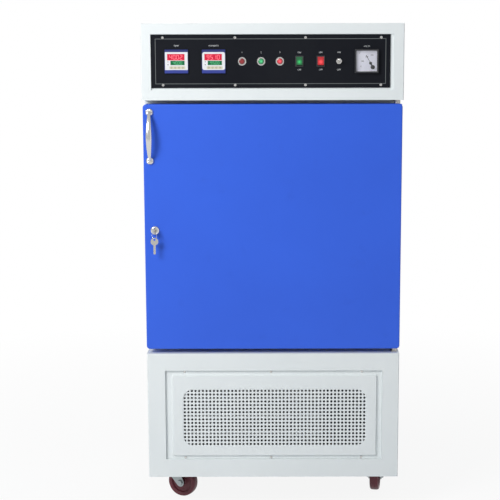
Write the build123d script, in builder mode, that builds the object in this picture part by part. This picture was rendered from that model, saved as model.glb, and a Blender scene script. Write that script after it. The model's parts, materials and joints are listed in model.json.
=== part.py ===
from build123d import *
import os
from math import asin, cos, degrees, radians, sin

# Floor-standing temperature and humidity chamber: a control box, a chamber with a full-width
# door and a machine compartment, on four swivel castors. Millimetres. The origin is on the
# floor under the middle of the overall width and depth. The front faces -Y, and +Z is up.

os.makedirs("parts", exist_ok=True)

# Cabinet
castor_height = 126.0
machine_box_height = 407.0
lower_gap = 14.5
door_height = 772.0
upper_gap = 12.0
control_box_height = 233.0
cabinet_width = 800.0
cabinet_depth = 770.0
control_box_overhang = 3.0
door_overhang = 0.5
door_thickness = 60.0
gasket_gap = 14.0
sheet = 1.5
liner_sheet = 1.0
edge_radius = 3.0
# Room left between bodies that rest on each other, and between foam and sheet
seat_gap = 0.3
foam_gap = 0.2
# Radial clearance of a shaft or pin in its bore
running_clearance = 0.05

# Chamber
chamber_side_wall = 97.5
chamber_back_wall = 91.0
chamber_height = 605.0
chamber_cove = 12.0
plenum_depth = 107.0
liner_flange = 48.0
shell_lip = 58.0

# Instrument plate and what it carries
opening_side_margin = 31.0
opening_below_top = 32.5
opening_above_base = 31.5
opening_shift = -1.0
ledge_depth = 5.0
ledge_width = 18.0
plate_thickness = 3.0
plate_left_gap = 0.5
plate_right_gap = 10.5
plate_top_gap = 1.5
plate_bottom_gap = 6.0
plate_screw_margin = 9.0
controller_size = 72.0
controller_body = 67.0
controller_proud = 6.0
controller_depth = 80.0
lamp_bezel_diameter = 26.0
lamp_lens_diameter = 18.0
lamp_hole_diameter = 22.0
rocker_frame_width = 25.5
rocker_frame_height = 33.0
rocker_width = 19.0
rocker_height = 25.0
rocker_tilt = 8.0
toggle_tilt = 13.0
voltmeter_size = 72.0
voltmeter_face = 64.0
voltmeter_proud = 12.0
needle_pivot_offset = 18.5
needle_length = 42.0
needle_angle = 29.0

# Places along the instrument plate in a cabinet of the drawn width; they spread with its width
drawn_width = 800.0
plate_screw_places = (-336.0, -115.0, 101.0, 332.0)
controller_places = (-294.0, -180.0)
lamp_places = (-93.5, -35.0, 22.5)
rocker_places = (82.0, 147.5)
toggle_place = 203.5
voltmeter_place = 288.0

# Door furniture
door_corner = 11.0
door_edge = 4.0
door_sheet = 1.2
pivot_inset = 15.5
pivot_pin_diameter = 10.0
pivot_pin_reach = 20.0
bracket_width = 15.0
bracket_thickness = 6.0
plug_clearance = 12.0
plug_depth = 34.0
gasket_width = 25.0
gasket_inset = 10.0
handle_inset = 20.0
handle_below_top = 24.0
handle_centres = 150.0
handle_reach = 36.0
handle_foot_diameter = 24.5
handle_bar_width = 18.0
handle_bar_end_width = 8.0
handle_bar_thickness = 7.0
lock_inset = 32.0
lock_below_middle = 5.5
lock_dome_diameter = 28.0
lock_dome_height = 6.5
lock_barrel_diameter = 19.0
lock_plug_diameter = 12.0
cam_length = 27.0
cam_width = 16.0
cam_thickness = 3.0
key_thickness = 2.0
key_bow_diameter = 24.0
key_hole_diameter = 7.0
key_blade_width = 7.0
key_ring_diameter = 22.0
key_ring_wire = 1.4
key_ring_turn = 40.0
spare_key_turn = 80.0

# Vent panel
vent_side_margin = 54.5
vent_above_base = 58.0
vent_below_top = 56.0
vent_opening_shift = 1.5
vent_recess = 10.0
vent_seat_width = 14.0
vent_field_side_margin = 17.5
vent_field_end_margin = 11.5
vent_field_drop = 2.0
vent_field_shift = 4.0
vent_field_proud = 8.0
vent_field_corner = 8.0
vent_window_side_margin = 35.0
vent_window_end_margin = 40.5
vent_window_corner = 38.0
vent_window_drop = 8.0
vent_screw_inset = 63.5
vent_screw_shift = -7.0
vent_screw_margin = 5.0
grille_pitch = 23.4
grille_hole = 13.0
grille_border = 14.0
screw_head_diameter = 8.0
screw_head_height = 2.4
screw_shank_diameter = 4.0

# Castors
castor_inset = 60.0
castor_front_setback = 200.0
castor_rear_setback = 120.0
castor_trail = 40.0
castor_turns = (-25.0, 80.0, 100.0, 60.0)
castor_names = ("front_left", "front_right", "rear_left", "rear_right")
wheel_diameter = 100.0
wheel_width = 32.0
wheel_side_gap = 2.0
axle_diameter = 10.0
fork_sheet = 4.0
fork_head_diameter = 60.0
castor_plate_length = 100.0
castor_plate_width = 85.0
castor_plate_thickness = 4.0
kingpin_diameter = 12.0

# Base frame and machinery
angle_leg = 40.0
angle_thickness = 4.0
floor_sheet = 2.0
cross_member_width = 120.0
compressor_inset = 190.0
compressor_setback = 325.0
compressor_diameter = 170.0
compressor_headroom = 192.0
condenser_inset = 120.0
condenser_width = 440.0
condenser_headroom = 117.0
condenser_thickness = 50.0
condenser_setback = 40.0
condenser_fins = 22
shroud_depth = 34.0
fan_ring_margin = 20.0
fan_blade_gap = 5.0
fan_blades = 5
boiler_inset = 150.0
boiler_setback = 265.0
boiler_diameter = 170.0
boiler_headroom = 177.0
steam_pipe_diameter = 22.0
hose_tail_diameter = 12.7
hose_tail_length = 34.0
water_pipe_diameter = 12.0
fill_tail_drop = 43.0
drain_tail_rise = 27.0
gland_inset = 70.0
gland_rise = 79.0
gland_bore = 10.0
suction_pipe_diameter = 12.0
liquid_pipe_diameter = 8.0

# Air circulation
motor_diameter = 90.0
motor_length = 70.0
shaft_diameter = 10.0
impeller_diameter = 220.0
impeller_depth = 56.0
impeller_blades = 20
intake_diameter = 170.0
shelf_heights = (190.0, 400.0)

# Planes and levels that follow from the sizes above
front_y = -cabinet_depth / 2
back_y = cabinet_depth / 2
side_x = cabinet_width / 2
control_box_width = cabinet_width + 2 * control_box_overhang
door_width = cabinet_width + 2 * door_overhang
chamber_width = cabinet_width - 2 * chamber_side_wall
door_back_y = front_y + door_thickness
chamber_front_y = door_back_y + gasket_gap
base_z = castor_height
deck_z = base_z + machine_box_height
door_z = deck_z + lower_gap
door_top_z = door_z + door_height
control_z = door_top_z + upper_gap
top_z = control_z + control_box_height
floor_z = base_z + angle_leg + floor_sheet
chamber_z = (deck_z + control_z) / 2
liner_back_y = back_y - chamber_back_wall
chamber_depth = liner_back_y - chamber_front_y
baffle_y = liner_back_y - plenum_depth
shell_front_y = chamber_front_y + liner_sheet
pivot_x = door_width / 2 - pivot_inset
pivot_y = front_y + door_thickness / 2
handle_x = -side_x + handle_inset
handle_top_z = door_top_z - handle_below_top
lock_x = -side_x + lock_inset
lock_z = (door_z + door_top_z) / 2 - lock_below_middle
beyond = 5.0


def block(x, y, z, mode=Mode.ADD):
    """A straight block between two limits on each axis."""
    with Locations(((x[0] + x[1]) / 2, (y[0] + y[1]) / 2, (z[0] + z[1]) / 2)):
        Box(x[1] - x[0], y[1] - y[0], z[1] - z[0], mode=mode)


def facing_front(y, x=0.0, z=0.0):
    """A sketch plane at depth y: local x is +X, local y is +Z, and the normal faces the viewer."""
    return Plane(origin=(x, y, z), x_dir=(1, 0, 0), z_dir=(0, -1, 0))


def panel(plane, width, height, thickness, corner=0.0, mode=Mode.ADD):
    """A plate of one thickness on a plane, with round corners where a radius is given."""
    with BuildSketch(plane) as outline:
        if corner > 0:
            RectangleRounded(width, height, corner)
        else:
            Rectangle(width, height)
    extrude(outline.sketch, amount=thickness, mode=mode)


def rod(plane, diameter, length, mode=Mode.ADD):
    """A round bar that starts on a plane and runs along its normal."""
    with BuildSketch(plane) as outline:
        Circle(diameter / 2)
    extrude(outline.sketch, amount=length, mode=mode)


def recessed_seat(centre, width, height, depth, lip):
    """An opening in the front sheet, folded inwards to a seat on which a panel is screwed."""
    seat_y = front_y + depth
    panel(facing_front(seat_y + sheet, *centre), width + 2 * sheet, height + 2 * sheet, depth + sheet)
    panel(facing_front(seat_y, *centre), width, height, depth + beyond, mode=Mode.SUBTRACT)
    through = facing_front(seat_y + sheet + beyond, *centre)
    panel(through, width - 2 * lip, height - 2 * lip, depth + 3 * beyond, mode=Mode.SUBTRACT)


def save(name, *pieces):
    """Label a finished piece, or a small group of pieces, and write it to its own file."""
    shape = pieces[0].part if len(pieces) == 1 else Compound(children=[p.part for p in pieces])
    shape.label = name
    export_step(shape, os.path.join("parts", name + ".step"))


# Base frame: a welded angle ring with two cross members for the castors and a floor sheet
frame_x = side_x - sheet
frame_front_y = front_y + sheet
frame_back_y = back_y - sheet
castor_x = side_x - castor_inset
castor_front_y = front_y + castor_front_setback
castor_rear_y = back_y - castor_rear_setback
castor_spots = [(x, y) for y in (castor_front_y, castor_rear_y) for x in (-castor_x, castor_x)]

with BuildPart() as base_frame:
    block((-frame_x, frame_x), (frame_front_y, frame_back_y), (base_z, base_z + angle_leg))
    block(
        (-frame_x + angle_leg, frame_x - angle_leg),
        (frame_front_y + angle_leg, frame_back_y - angle_leg),
        (base_z - beyond, base_z + angle_leg + beyond),
        Mode.SUBTRACT,
    )
    block(
        (-frame_x + angle_thickness, frame_x - angle_thickness),
        (frame_front_y + angle_thickness, frame_back_y - angle_thickness),
        (base_z + angle_thickness, base_z + angle_leg + beyond),
        Mode.SUBTRACT,
    )
    for member_y in (castor_front_y, castor_rear_y):
        member = (member_y - cross_member_width / 2, member_y + cross_member_width / 2)
        block((-frame_x, frame_x), member, (base_z, base_z + angle_leg))
        block(
            (-frame_x + angle_thickness, frame_x - angle_thickness),
            (member[0] + angle_thickness, member[1] - angle_thickness),
            (base_z + angle_thickness, base_z + angle_leg + beyond),
            Mode.SUBTRACT,
        )
    block((-frame_x, frame_x), (frame_front_y, frame_back_y), (base_z + angle_leg, floor_z))
save("base_frame", base_frame)

# Castors: each plate carries its swivel head and kingpin; fork and wheel turn below it
head_height = 10.0
crown_height = 8.0
plate_z = castor_height - castor_plate_thickness
head_z = plate_z - head_height
crown_z = head_z - seat_gap - crown_height
bolt_spread_x = castor_plate_length - 24.0
bolt_spread_y = castor_plate_width - 24.0
bolt_head_radius = 7.0
bolt_head_height = 5.5

with BuildPart() as castor_plates:
    for spot in castor_spots:
        under_plate = Plane(origin=(spot[0], spot[1], castor_height), z_dir=(0, 0, -1))
        panel(under_plate, castor_plate_length, castor_plate_width, castor_plate_thickness, 6.0)
        rod(under_plate, fork_head_diameter, castor_plate_thickness + head_height)
        rod(under_plate, kingpin_diameter, castor_height - crown_z + 4.0)
        with BuildSketch(under_plate) as bolt_heads:
            with GridLocations(bolt_spread_x, bolt_spread_y, 2, 2):
                RegularPolygon(bolt_head_radius, 6)
        extrude(bolt_heads.sketch, amount=castor_plate_thickness + bolt_head_height)
save("castor_plates", castor_plates)


def swivel_plane(spot, turn, height):
    """Level plane on a swivel axis whose local x is the way the wheel trails."""
    direction = (cos(radians(turn)), sin(radians(turn)), 0)
    return Plane(origin=(spot[0], spot[1], height), x_dir=direction, z_dir=(0, 0, 1))


def wheel_plane(spot, turn):
    """Upright plane through the middle of the wheel, with its origin on the axle."""
    direction = Vector(cos(radians(turn)), sin(radians(turn)), 0)
    origin = Vector(spot[0], spot[1], wheel_diameter / 2) + direction * castor_trail
    return Plane(origin=origin, x_dir=direction, z_dir=(direction.Y, -direction.X, 0))


leg_gap = wheel_width / 2 + wheel_side_gap
leg_foot_radius = 14.0
leg_top_width = 52.0
nut_radius = 9.0
nut_height = 6.0

for spot, turn, place in zip(castor_spots, castor_turns, castor_names):
    upright = wheel_plane(spot, turn)

    with BuildPart() as fork:
        rod(swivel_plane(spot, turn, crown_z), fork_head_diameter, crown_height)
        with BuildSketch(upright) as leg:
            with Locations((-castor_trail, crown_z + crown_height / 2 - wheel_diameter / 2)):
                Rectangle(leg_top_width, crown_height)
            Circle(leg_foot_radius)
            make_hull()
            Circle(axle_diameter / 2 + running_clearance, mode=Mode.SUBTRACT)
        for side in (1, -1):
            face = leg.sketch.moved(Location(upright.z_dir * (side * leg_gap)))
            extrude(face, amount=side * fork_sheet)
        rod(
            swivel_plane(spot, turn, crown_z - beyond),
            kingpin_diameter + 2 * running_clearance,
            crown_height + 2 * beyond,
            Mode.SUBTRACT,
        )

    with BuildPart() as axle:
        axle_half = leg_gap + fork_sheet
        rod(upright.offset(-axle_half - nut_height), axle_diameter, 2 * axle_half + 2 * nut_height)
        for start in (-axle_half - nut_height, axle_half):
            with BuildSketch(upright.offset(start)) as hexagon:
                RegularPolygon(nut_radius, 6)
            extrude(hexagon.sketch, amount=nut_height)

    save("castor_fork_" + place, fork, axle)

    with BuildPart() as wheel:
        hub_radius = 14.0
        web_half = 8.0
        rim_radius = wheel_diameter / 2 - 9.0
        tread_round = 6.0
        bore_radius = axle_diameter / 2 + running_clearance
        half = wheel_width / 2
        section_plane = Plane(origin=upright.origin, x_dir=upright.x_dir, z_dir=(0, 0, 1))
        with BuildSketch(section_plane):
            with BuildLine():
                Polyline(
                    (bore_radius, -half),
                    (hub_radius, -half),
                    (hub_radius + 3.0, -web_half),
                    (rim_radius - 3.0, -web_half),
                    (rim_radius, -half),
                    (wheel_diameter / 2 - tread_round, -half),
                )
                tread = ThreePointArc(
                    (wheel_diameter / 2 - tread_round, -half),
                    (wheel_diameter / 2, 0),
                    (wheel_diameter / 2 - tread_round, half),
                )
                Polyline(
                    tread @ 1,
                    (rim_radius, half),
                    (rim_radius - 3.0, web_half),
                    (hub_radius + 3.0, web_half),
                    (hub_radius, half),
                    (bore_radius, half),
                    (bore_radius, -half),
                )
            make_face()
        revolve(axis=Axis(upright.origin, upright.z_dir))
    save("castor_wheel_" + place, wheel)

# Machine compartment casing: folded sheet, open below and behind, with a seat for the vent panel
vent_opening_width = cabinet_width - 2 * vent_side_margin
vent_opening_height = machine_box_height - vent_above_base - vent_below_top
vent_z = base_z + vent_above_base + vent_opening_height / 2
vent_seat_y = front_y + vent_recess
vent_screw_rows = [
    vent_z + side * (vent_opening_height / 2 - vent_screw_margin) for side in (1, -1)
]
vent_screw_reach = vent_opening_width / 2 - vent_screw_inset
vent_screw_x = (-vent_screw_reach, vent_screw_shift, vent_screw_reach)
vent_screws = [(x, z) for x in vent_screw_x for z in vent_screw_rows]
screw_hole_diameter = screw_shank_diameter + 2 * seat_gap
boiler_x = side_x - boiler_inset
plenum_y = (baffle_y + liner_back_y) / 2
suction_riser_inset = 115.0
liquid_riser_inset = 138.0
steam_riser = (boiler_x, plenum_y)
suction_riser = (-side_x + suction_riser_inset, plenum_y)
liquid_riser = (-side_x + liquid_riser_inset, plenum_y)
risers = (
    (steam_riser, steam_pipe_diameter),
    (suction_riser, suction_pipe_diameter),
    (liquid_riser, liquid_pipe_diameter),
)


def bore_for_risers(z_from, z_to, clearance):
    """Holes on the three pipe risers, through whatever lies between two heights."""
    for centre, diameter in risers:
        start = Plane(origin=(centre[0], centre[1], z_from))
        rod(start, diameter + 2 * clearance, z_to - z_from, Mode.SUBTRACT)


with BuildPart() as machine_casing:
    block((-side_x, side_x), (front_y, back_y), (base_z, deck_z))
    front_edges = machine_casing.edges().filter_by(Axis.Z).group_by(Axis.Y)[0]
    fillet(front_edges, edge_radius)
    block(
        (-side_x + sheet, side_x - sheet),
        (front_y + sheet, back_y + beyond),
        (base_z - beyond, deck_z - sheet),
        Mode.SUBTRACT,
    )
    vent_centre = (vent_opening_shift, vent_z)
    recessed_seat(vent_centre, vent_opening_width, vent_opening_height, vent_recess, vent_seat_width)
    for x, z in vent_screws:
        rod(facing_front(vent_seat_y + beyond, x, z), screw_hole_diameter, 2 * beyond, Mode.SUBTRACT)
    bore_for_risers(deck_z - sheet - beyond, deck_z + beyond, seat_gap)
save("machine_casing", machine_casing)

# Vent panel: a flange on the seat, a pressed field with sloping sides and a round-cornered window
vent_side_gap = 0.5
field_slope = 30.0
vent_flange_y = vent_seat_y - sheet
field_front_y = vent_flange_y - vent_field_proud
vent_field_width = vent_opening_width - 2 * vent_field_side_margin
vent_field_height = vent_opening_height - 2 * vent_field_end_margin
vent_window_width = vent_field_width - 2 * vent_window_side_margin
vent_window_height = vent_field_height - 2 * vent_window_end_margin
field_x = vent_field_shift
field_z = vent_z - vent_field_drop
window_z = vent_z - vent_window_drop

with BuildPart() as vent_panel:
    panel(
        facing_front(vent_seat_y, vent_opening_shift, vent_z),
        vent_opening_width - 2 * vent_side_gap,
        vent_opening_height - 2 * vent_side_gap,
        sheet,
    )
    with BuildSketch(facing_front(vent_flange_y, field_x, field_z)) as field:
        RectangleRounded(vent_field_width, vent_field_height, vent_field_corner)
    extrude(field.sketch, amount=vent_field_proud, taper=field_slope)
    with BuildSketch(facing_front(vent_seat_y, field_x, field_z)) as hollow:
        RectangleRounded(
            vent_field_width - 2 * sheet, vent_field_height - 2 * sheet, vent_field_corner
        )
    extrude(hollow.sketch, amount=vent_field_proud, taper=field_slope, mode=Mode.SUBTRACT)
    panel(
        facing_front(vent_seat_y, field_x, window_z),
        vent_window_width,
        vent_window_height,
        vent_recess + beyond,
        vent_window_corner,
        Mode.SUBTRACT,
    )
    for x, z in vent_screws:
        rod(facing_front(vent_seat_y + beyond, x, z), screw_hole_diameter, 3 * beyond, Mode.SUBTRACT)
save("vent_panel", vent_panel)

# Perforated grille: its sheet lies behind the window, so the window's round corners cut the rows
grille_y = field_front_y + sheet
grille_columns = int(vent_window_width / grille_pitch)
grille_rows = int(vent_window_height / grille_pitch)
with BuildPart() as vent_grille:
    with BuildSketch(facing_front(grille_y + liner_sheet, field_x, window_z)):
        Rectangle(vent_window_width + 2 * grille_border, vent_window_height + 2 * grille_border)
        with GridLocations(grille_pitch, grille_pitch, grille_columns, grille_rows):
            Rectangle(grille_hole, grille_hole, mode=Mode.SUBTRACT)
    extrude(amount=liner_sheet)
save("vent_grille", vent_grille)

# Back panel of the machine compartment, with louvres that open downwards
louvre_width = 150.0
louvre_height = 16.0
louvre_reach = 8.0
louvre_pitch = 30.0
louvre_rows = 8
louvre_shift = -55.0
louvre_spacing = 230.0
louvre_columns_x = (louvre_shift - louvre_spacing / 2, louvre_shift + louvre_spacing / 2)
back_panel_z = (base_z, deck_z - sheet - seat_gap)
boiler_leg = 30.0
boiler_z = floor_z + boiler_leg
boiler_height = machine_box_height - boiler_headroom
boiler_top_z = boiler_z + boiler_height
tail_x = boiler_x
fill_tail_z = boiler_top_z - fill_tail_drop
drain_tail_z = boiler_z + drain_tail_rise
gland_x = -side_x + gland_inset
gland_z = base_z + gland_rise
panel_hole_clearance = 0.15
gland_thread_diameter = 18.0


def louvre(x, z):
    """One pressed louvre: a sloping hood over a slot, open at its lower edge."""
    side = Plane(origin=(x - louvre_width / 2, back_y, z), x_dir=(0, 1, 0), z_dir=(1, 0, 0))
    with BuildSketch(side) as hood:
        Polygon((0, 0), (louvre_reach, 0), (0, louvre_height), align=None)
    extrude(hood.sketch, amount=louvre_width)
    inner = side.offset(sheet)
    with BuildSketch(inner) as slot:
        Polygon(
            (-2 * sheet, -sheet),
            (louvre_reach - sheet, -sheet),
            (-2 * sheet, louvre_height - sheet),
            align=None,
        )
    extrude(slot.sketch, amount=louvre_width - 2 * sheet, mode=Mode.SUBTRACT)


with BuildPart() as back_panel:
    back_panel_reach = side_x - sheet - seat_gap
    block((-back_panel_reach, back_panel_reach), (back_y - sheet, back_y), back_panel_z)
    for x in louvre_columns_x:
        for row in range(louvre_rows):
            louvre(x, base_z + 2 * angle_leg + row * louvre_pitch)
    for tail_z in (fill_tail_z, drain_tail_z):
        hole = hose_tail_diameter + 2 * panel_hole_clearance
        rod(facing_front(back_y + beyond, tail_x, tail_z), hole, 3 * beyond, Mode.SUBTRACT)
    gland_hole = gland_thread_diameter + 2 * panel_hole_clearance
    rod(facing_front(back_y + beyond, gland_x, gland_z), gland_hole, 3 * beyond, Mode.SUBTRACT)
save("back_panel", back_panel)

# Mains gland: hexagon and dome cap outside, thread through the panel, lock nut inside
gland_hex_radius = 15.0
gland_hex_length = 8.0
gland_cap_length = 14.0
gland_thread_length = 12.0
gland_nut_length = 5.0
gland_cap_radius = 13.0
gland_cap_taper = 12
with BuildPart() as mains_gland:
    outward = Plane(origin=(gland_x, back_y, gland_z), x_dir=(1, 0, 0), z_dir=(0, 1, 0))
    with BuildSketch(outward) as hexagon:
        RegularPolygon(gland_hex_radius, 6)
    extrude(hexagon.sketch, amount=gland_hex_length)
    with BuildSketch(outward.offset(gland_hex_length)) as cap:
        Circle(gland_cap_radius)
    extrude(cap.sketch, amount=gland_cap_length, taper=gland_cap_taper)
    rod(outward.offset(-gland_thread_length), gland_thread_diameter, gland_thread_length)
    with BuildSketch(outward.offset(-sheet - gland_nut_length)) as lock_nut:
        RegularPolygon(gland_hex_radius, 6)
    extrude(lock_nut.sketch, amount=gland_nut_length)
    gland_length = gland_thread_length + gland_hex_length + gland_cap_length
    bore_start = outward.offset(-gland_thread_length - beyond)
    rod(bore_start, gland_bore, gland_length + 2 * beyond, Mode.SUBTRACT)
save("mains_gland", mains_gland)

# Condenser: finned block between end plates, a shroud behind it, and the fan in the shroud
condenser_y = front_y + condenser_setback
condenser_back_y = condenser_y + condenser_thickness
condenser_x = -side_x + condenser_inset + condenser_width / 2
condenser_height = machine_box_height - condenser_headroom
condenser_z = floor_z + condenser_height / 2
end_plate = 3.0
fin_groove = 6.0
fin_groove_depth = 10.0
tube_header = 16.0

with BuildPart() as condenser_coil:
    left, right = condenser_x - condenser_width / 2, condenser_x + condenser_width / 2
    block((left, right), (condenser_y, condenser_back_y), (floor_z, floor_z + condenser_height))
    groove_pitch = (condenser_width - 2 * tube_header) / condenser_fins
    with BuildSketch(facing_front(condenser_y + fin_groove_depth, condenser_x, condenser_z)) as grooves:
        with GridLocations(groove_pitch, 1, condenser_fins, 1):
            Rectangle(fin_groove, condenser_height - 2 * tube_header)
    extrude(grooves.sketch, amount=fin_groove_depth + beyond, mode=Mode.SUBTRACT)
save("condenser_coil", condenser_coil)

shroud_back_y = condenser_back_y + shroud_depth
fan_y = (condenser_back_y + shroud_back_y) / 2
ring_depth = 14.0
fan_ring_diameter = condenser_height - 2 * fan_ring_margin
with BuildPart() as condenser_shroud:
    block((left, right), (condenser_back_y, shroud_back_y), (floor_z, floor_z + condenser_height))
    block(
        (left + sheet, right - sheet),
        (condenser_back_y - beyond, shroud_back_y - sheet),
        (floor_z + sheet, floor_z + condenser_height - sheet),
        Mode.SUBTRACT,
    )
    mouth = facing_front(shroud_back_y, condenser_x, condenser_z)
    rod(mouth, fan_ring_diameter + 2 * sheet, ring_depth)
    rod(mouth.offset(-beyond), fan_ring_diameter, shroud_depth + 2 * beyond, Mode.SUBTRACT)
save("condenser_shroud", condenser_shroud)

# Condenser fan motor on a cross bar screwed to the back of the shroud
bar_width = 24.0
bar_thickness = 4.0
fan_motor_diameter = 84.0
fan_motor_length = 62.0
bearing_nose = 12.0
with BuildPart() as condenser_fan_motor:
    bar_half = fan_ring_diameter / 2 + 20.0
    block(
        (condenser_x - bar_half, condenser_x + bar_half),
        (shroud_back_y, shroud_back_y + bar_thickness),
        (condenser_z - bar_width / 2, condenser_z + bar_width / 2),
    )
    behind_bar = Plane(
        origin=(condenser_x, shroud_back_y + bar_thickness, condenser_z), x_dir=(1, 0, 0), z_dir=(0, 1, 0)
    )
    rod(behind_bar, fan_motor_diameter, fan_motor_length)
    bore = shaft_diameter + 2 * running_clearance
    rod(behind_bar.offset(-bar_thickness - beyond), bore, fan_motor_length, Mode.SUBTRACT)
save("condenser_fan_motor", condenser_fan_motor)

blade_width = 56.0
blade_thickness = 2.0
blade_pitch_angle = 28.0
fan_hub_diameter = 60.0
fan_hub_depth = 22.0
with BuildPart() as condenser_fan_blade:
    blade_radius = fan_ring_diameter / 2 - fan_blade_gap
    for blade in range(fan_blades):
        angle = radians(blade * 360 / fan_blades)
        outward = Plane(
            origin=(condenser_x, fan_y, condenser_z), x_dir=(0, 1, 0), z_dir=(cos(angle), 0, sin(angle))
        )
        with BuildSketch(outward) as chord:
            Rectangle(blade_thickness, blade_width, rotation=blade_pitch_angle)
        extrude(chord.sketch, amount=blade_radius)
    with BuildSketch(facing_front(fan_y + shroud_depth / 2, condenser_x, condenser_z)) as swept:
        Circle(blade_radius)
    extrude(swept.sketch, amount=shroud_depth, mode=Mode.INTERSECT)
    hub_face = facing_front(fan_y + fan_hub_depth / 2, condenser_x, condenser_z)
    rod(hub_face, fan_hub_diameter, fan_hub_depth)
    shaft_end = shroud_back_y + bar_thickness + fan_motor_length / 2
    rod(facing_front(shaft_end, condenser_x, condenser_z), shaft_diameter, shaft_end - fan_y)
save("condenser_fan_blade", condenser_fan_blade)

# Compressor: domed hermetic shell on a foot plate with rubber mounts
mount_height = 20.0
foot_plate_thickness = 4.0
compressor_x = -side_x + compressor_inset
compressor_y = back_y - compressor_setback
compressor_height = machine_box_height - compressor_headroom
shell_foot_z = floor_z + mount_height + foot_plate_thickness
shell_top_z = shell_foot_z + compressor_height
stub_height = 20.0
stub_top_z = shell_top_z + stub_height
stub_diameter = 18.0
discharge_stub = (compressor_x + 45.0, compressor_y - 30.0)
suction_stub = (compressor_x - 30.0, compressor_y + 45.0)
with BuildPart() as compressor:
    shell_foot = Plane(origin=(compressor_x, compressor_y, shell_foot_z))
    dome = 40.0
    weld_rim = 4.0
    rod(shell_foot, compressor_diameter, compressor_height)
    fillet(compressor.edges().sort_by(Axis.Z)[-1], dome)
    rod(shell_foot.offset(compressor_height / 2), compressor_diameter + 2 * weld_rim, weld_rim)
    foot_level = Plane(origin=(compressor_x, compressor_y, floor_z + mount_height))
    foot_length = compressor_diameter + 50.0
    foot_width = compressor_diameter - 10.0
    mount_diameter = 26.0
    panel(foot_level, foot_length, foot_width, foot_plate_thickness, 8.0)
    with BuildSketch(foot_level) as mounts:
        with GridLocations(foot_length - mount_diameter, foot_width - mount_diameter, 2, 2):
            Circle(mount_diameter / 2)
    extrude(mounts.sketch, amount=-mount_height)
    for stub in (discharge_stub, suction_stub):
        rod(Plane(origin=(stub[0], stub[1], shell_top_z - dome)), stub_diameter, dome + stub_height)
save("compressor", compressor)

# Refrigerant pipes: discharge to the condenser, liquid line with its drier, suction line
chamber_floor_z = chamber_z - chamber_height / 2
evaporator_left_inset = 155.0
evaporator_right_inset = 185.0
evaporator_lift = 25.0
evaporator_height = 130.0
evaporator_x = (-side_x + evaporator_left_inset, side_x - evaporator_right_inset)
evaporator_bottom_z = chamber_floor_z + evaporator_lift
evaporator_z = (evaporator_bottom_z, evaporator_bottom_z + evaporator_height)
evaporator_stub = 30.0
condenser_stub_y = (condenser_y + condenser_back_y) / 2
drier_diameter = 26.0
drier_length = 90.0
drier_rise = 120.0
header_x = right + 30.0
pipe_lane_x = -side_x + 60.0
pipe_lane_y = front_y + 215.0
low_run_z = floor_z + 40.0
condenser_inlet_z = floor_z + condenser_height - 40.0
discharge_run_z = stub_top_z + 50.0
suction_run_z = stub_top_z + 60.0
# The risers are brazed to the runs below them just under the deck
riser_joint_z = deck_z - 20.0


def pipe(points, diameter, bend):
    """A bent round pipe along straight runs with equal bends."""
    with BuildPart() as run:
        with BuildLine() as route:
            FilletPolyline(*points, radius=bend)
        start = Plane(origin=route.line @ 0, z_dir=route.line % 0)
        with BuildSketch(start):
            Circle(diameter / 2)
        sweep()
    return run


discharge = pipe(
    (
        (*discharge_stub, stub_top_z),
        (*discharge_stub, discharge_run_z),
        (header_x, discharge_stub[1], discharge_run_z),
        (header_x, condenser_stub_y, discharge_run_z),
        (header_x, condenser_stub_y, condenser_inlet_z),
        (right, condenser_stub_y, condenser_inlet_z),
    ),
    liquid_pipe_diameter,
    12.0,
)
liquid = pipe(
    (
        (right, condenser_stub_y, low_run_z),
        (header_x, condenser_stub_y, low_run_z),
        (header_x, pipe_lane_y, low_run_z),
        (pipe_lane_x, pipe_lane_y, low_run_z),
        (pipe_lane_x, liquid_riser[1], low_run_z),
        (*liquid_riser, low_run_z),
        (*liquid_riser, riser_joint_z),
    ),
    liquid_pipe_diameter,
    8.0,
)
liquid_feed = pipe(
    (
        (*liquid_riser, riser_joint_z),
        (*liquid_riser, evaporator_z[1] - evaporator_stub),
        (evaporator_x[0], liquid_riser[1], evaporator_z[1] - evaporator_stub),
    ),
    liquid_pipe_diameter,
    8.0,
)
with BuildPart() as drier:
    drier_start = Plane(origin=(*liquid_riser, floor_z + drier_rise))
    rod(drier_start, drier_diameter, drier_length)
    rod(drier_start.offset(-beyond), liquid_pipe_diameter, drier_length + 2 * beyond, Mode.SUBTRACT)
suction = pipe(
    (
        (*suction_stub, stub_top_z),
        (*suction_stub, suction_run_z),
        (*suction_riser, suction_run_z),
        (*suction_riser, riser_joint_z),
    ),
    suction_pipe_diameter,
    14.0,
)
suction_return = pipe(
    (
        (*suction_riser, riser_joint_z),
        (*suction_riser, evaporator_z[0] + evaporator_stub),
        (evaporator_x[0], suction_riser[1], evaporator_z[0] + evaporator_stub),
    ),
    suction_pipe_diameter,
    14.0,
)
save("refrigerant_pipes", discharge, liquid, liquid_feed, drier, suction, suction_return)

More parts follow.
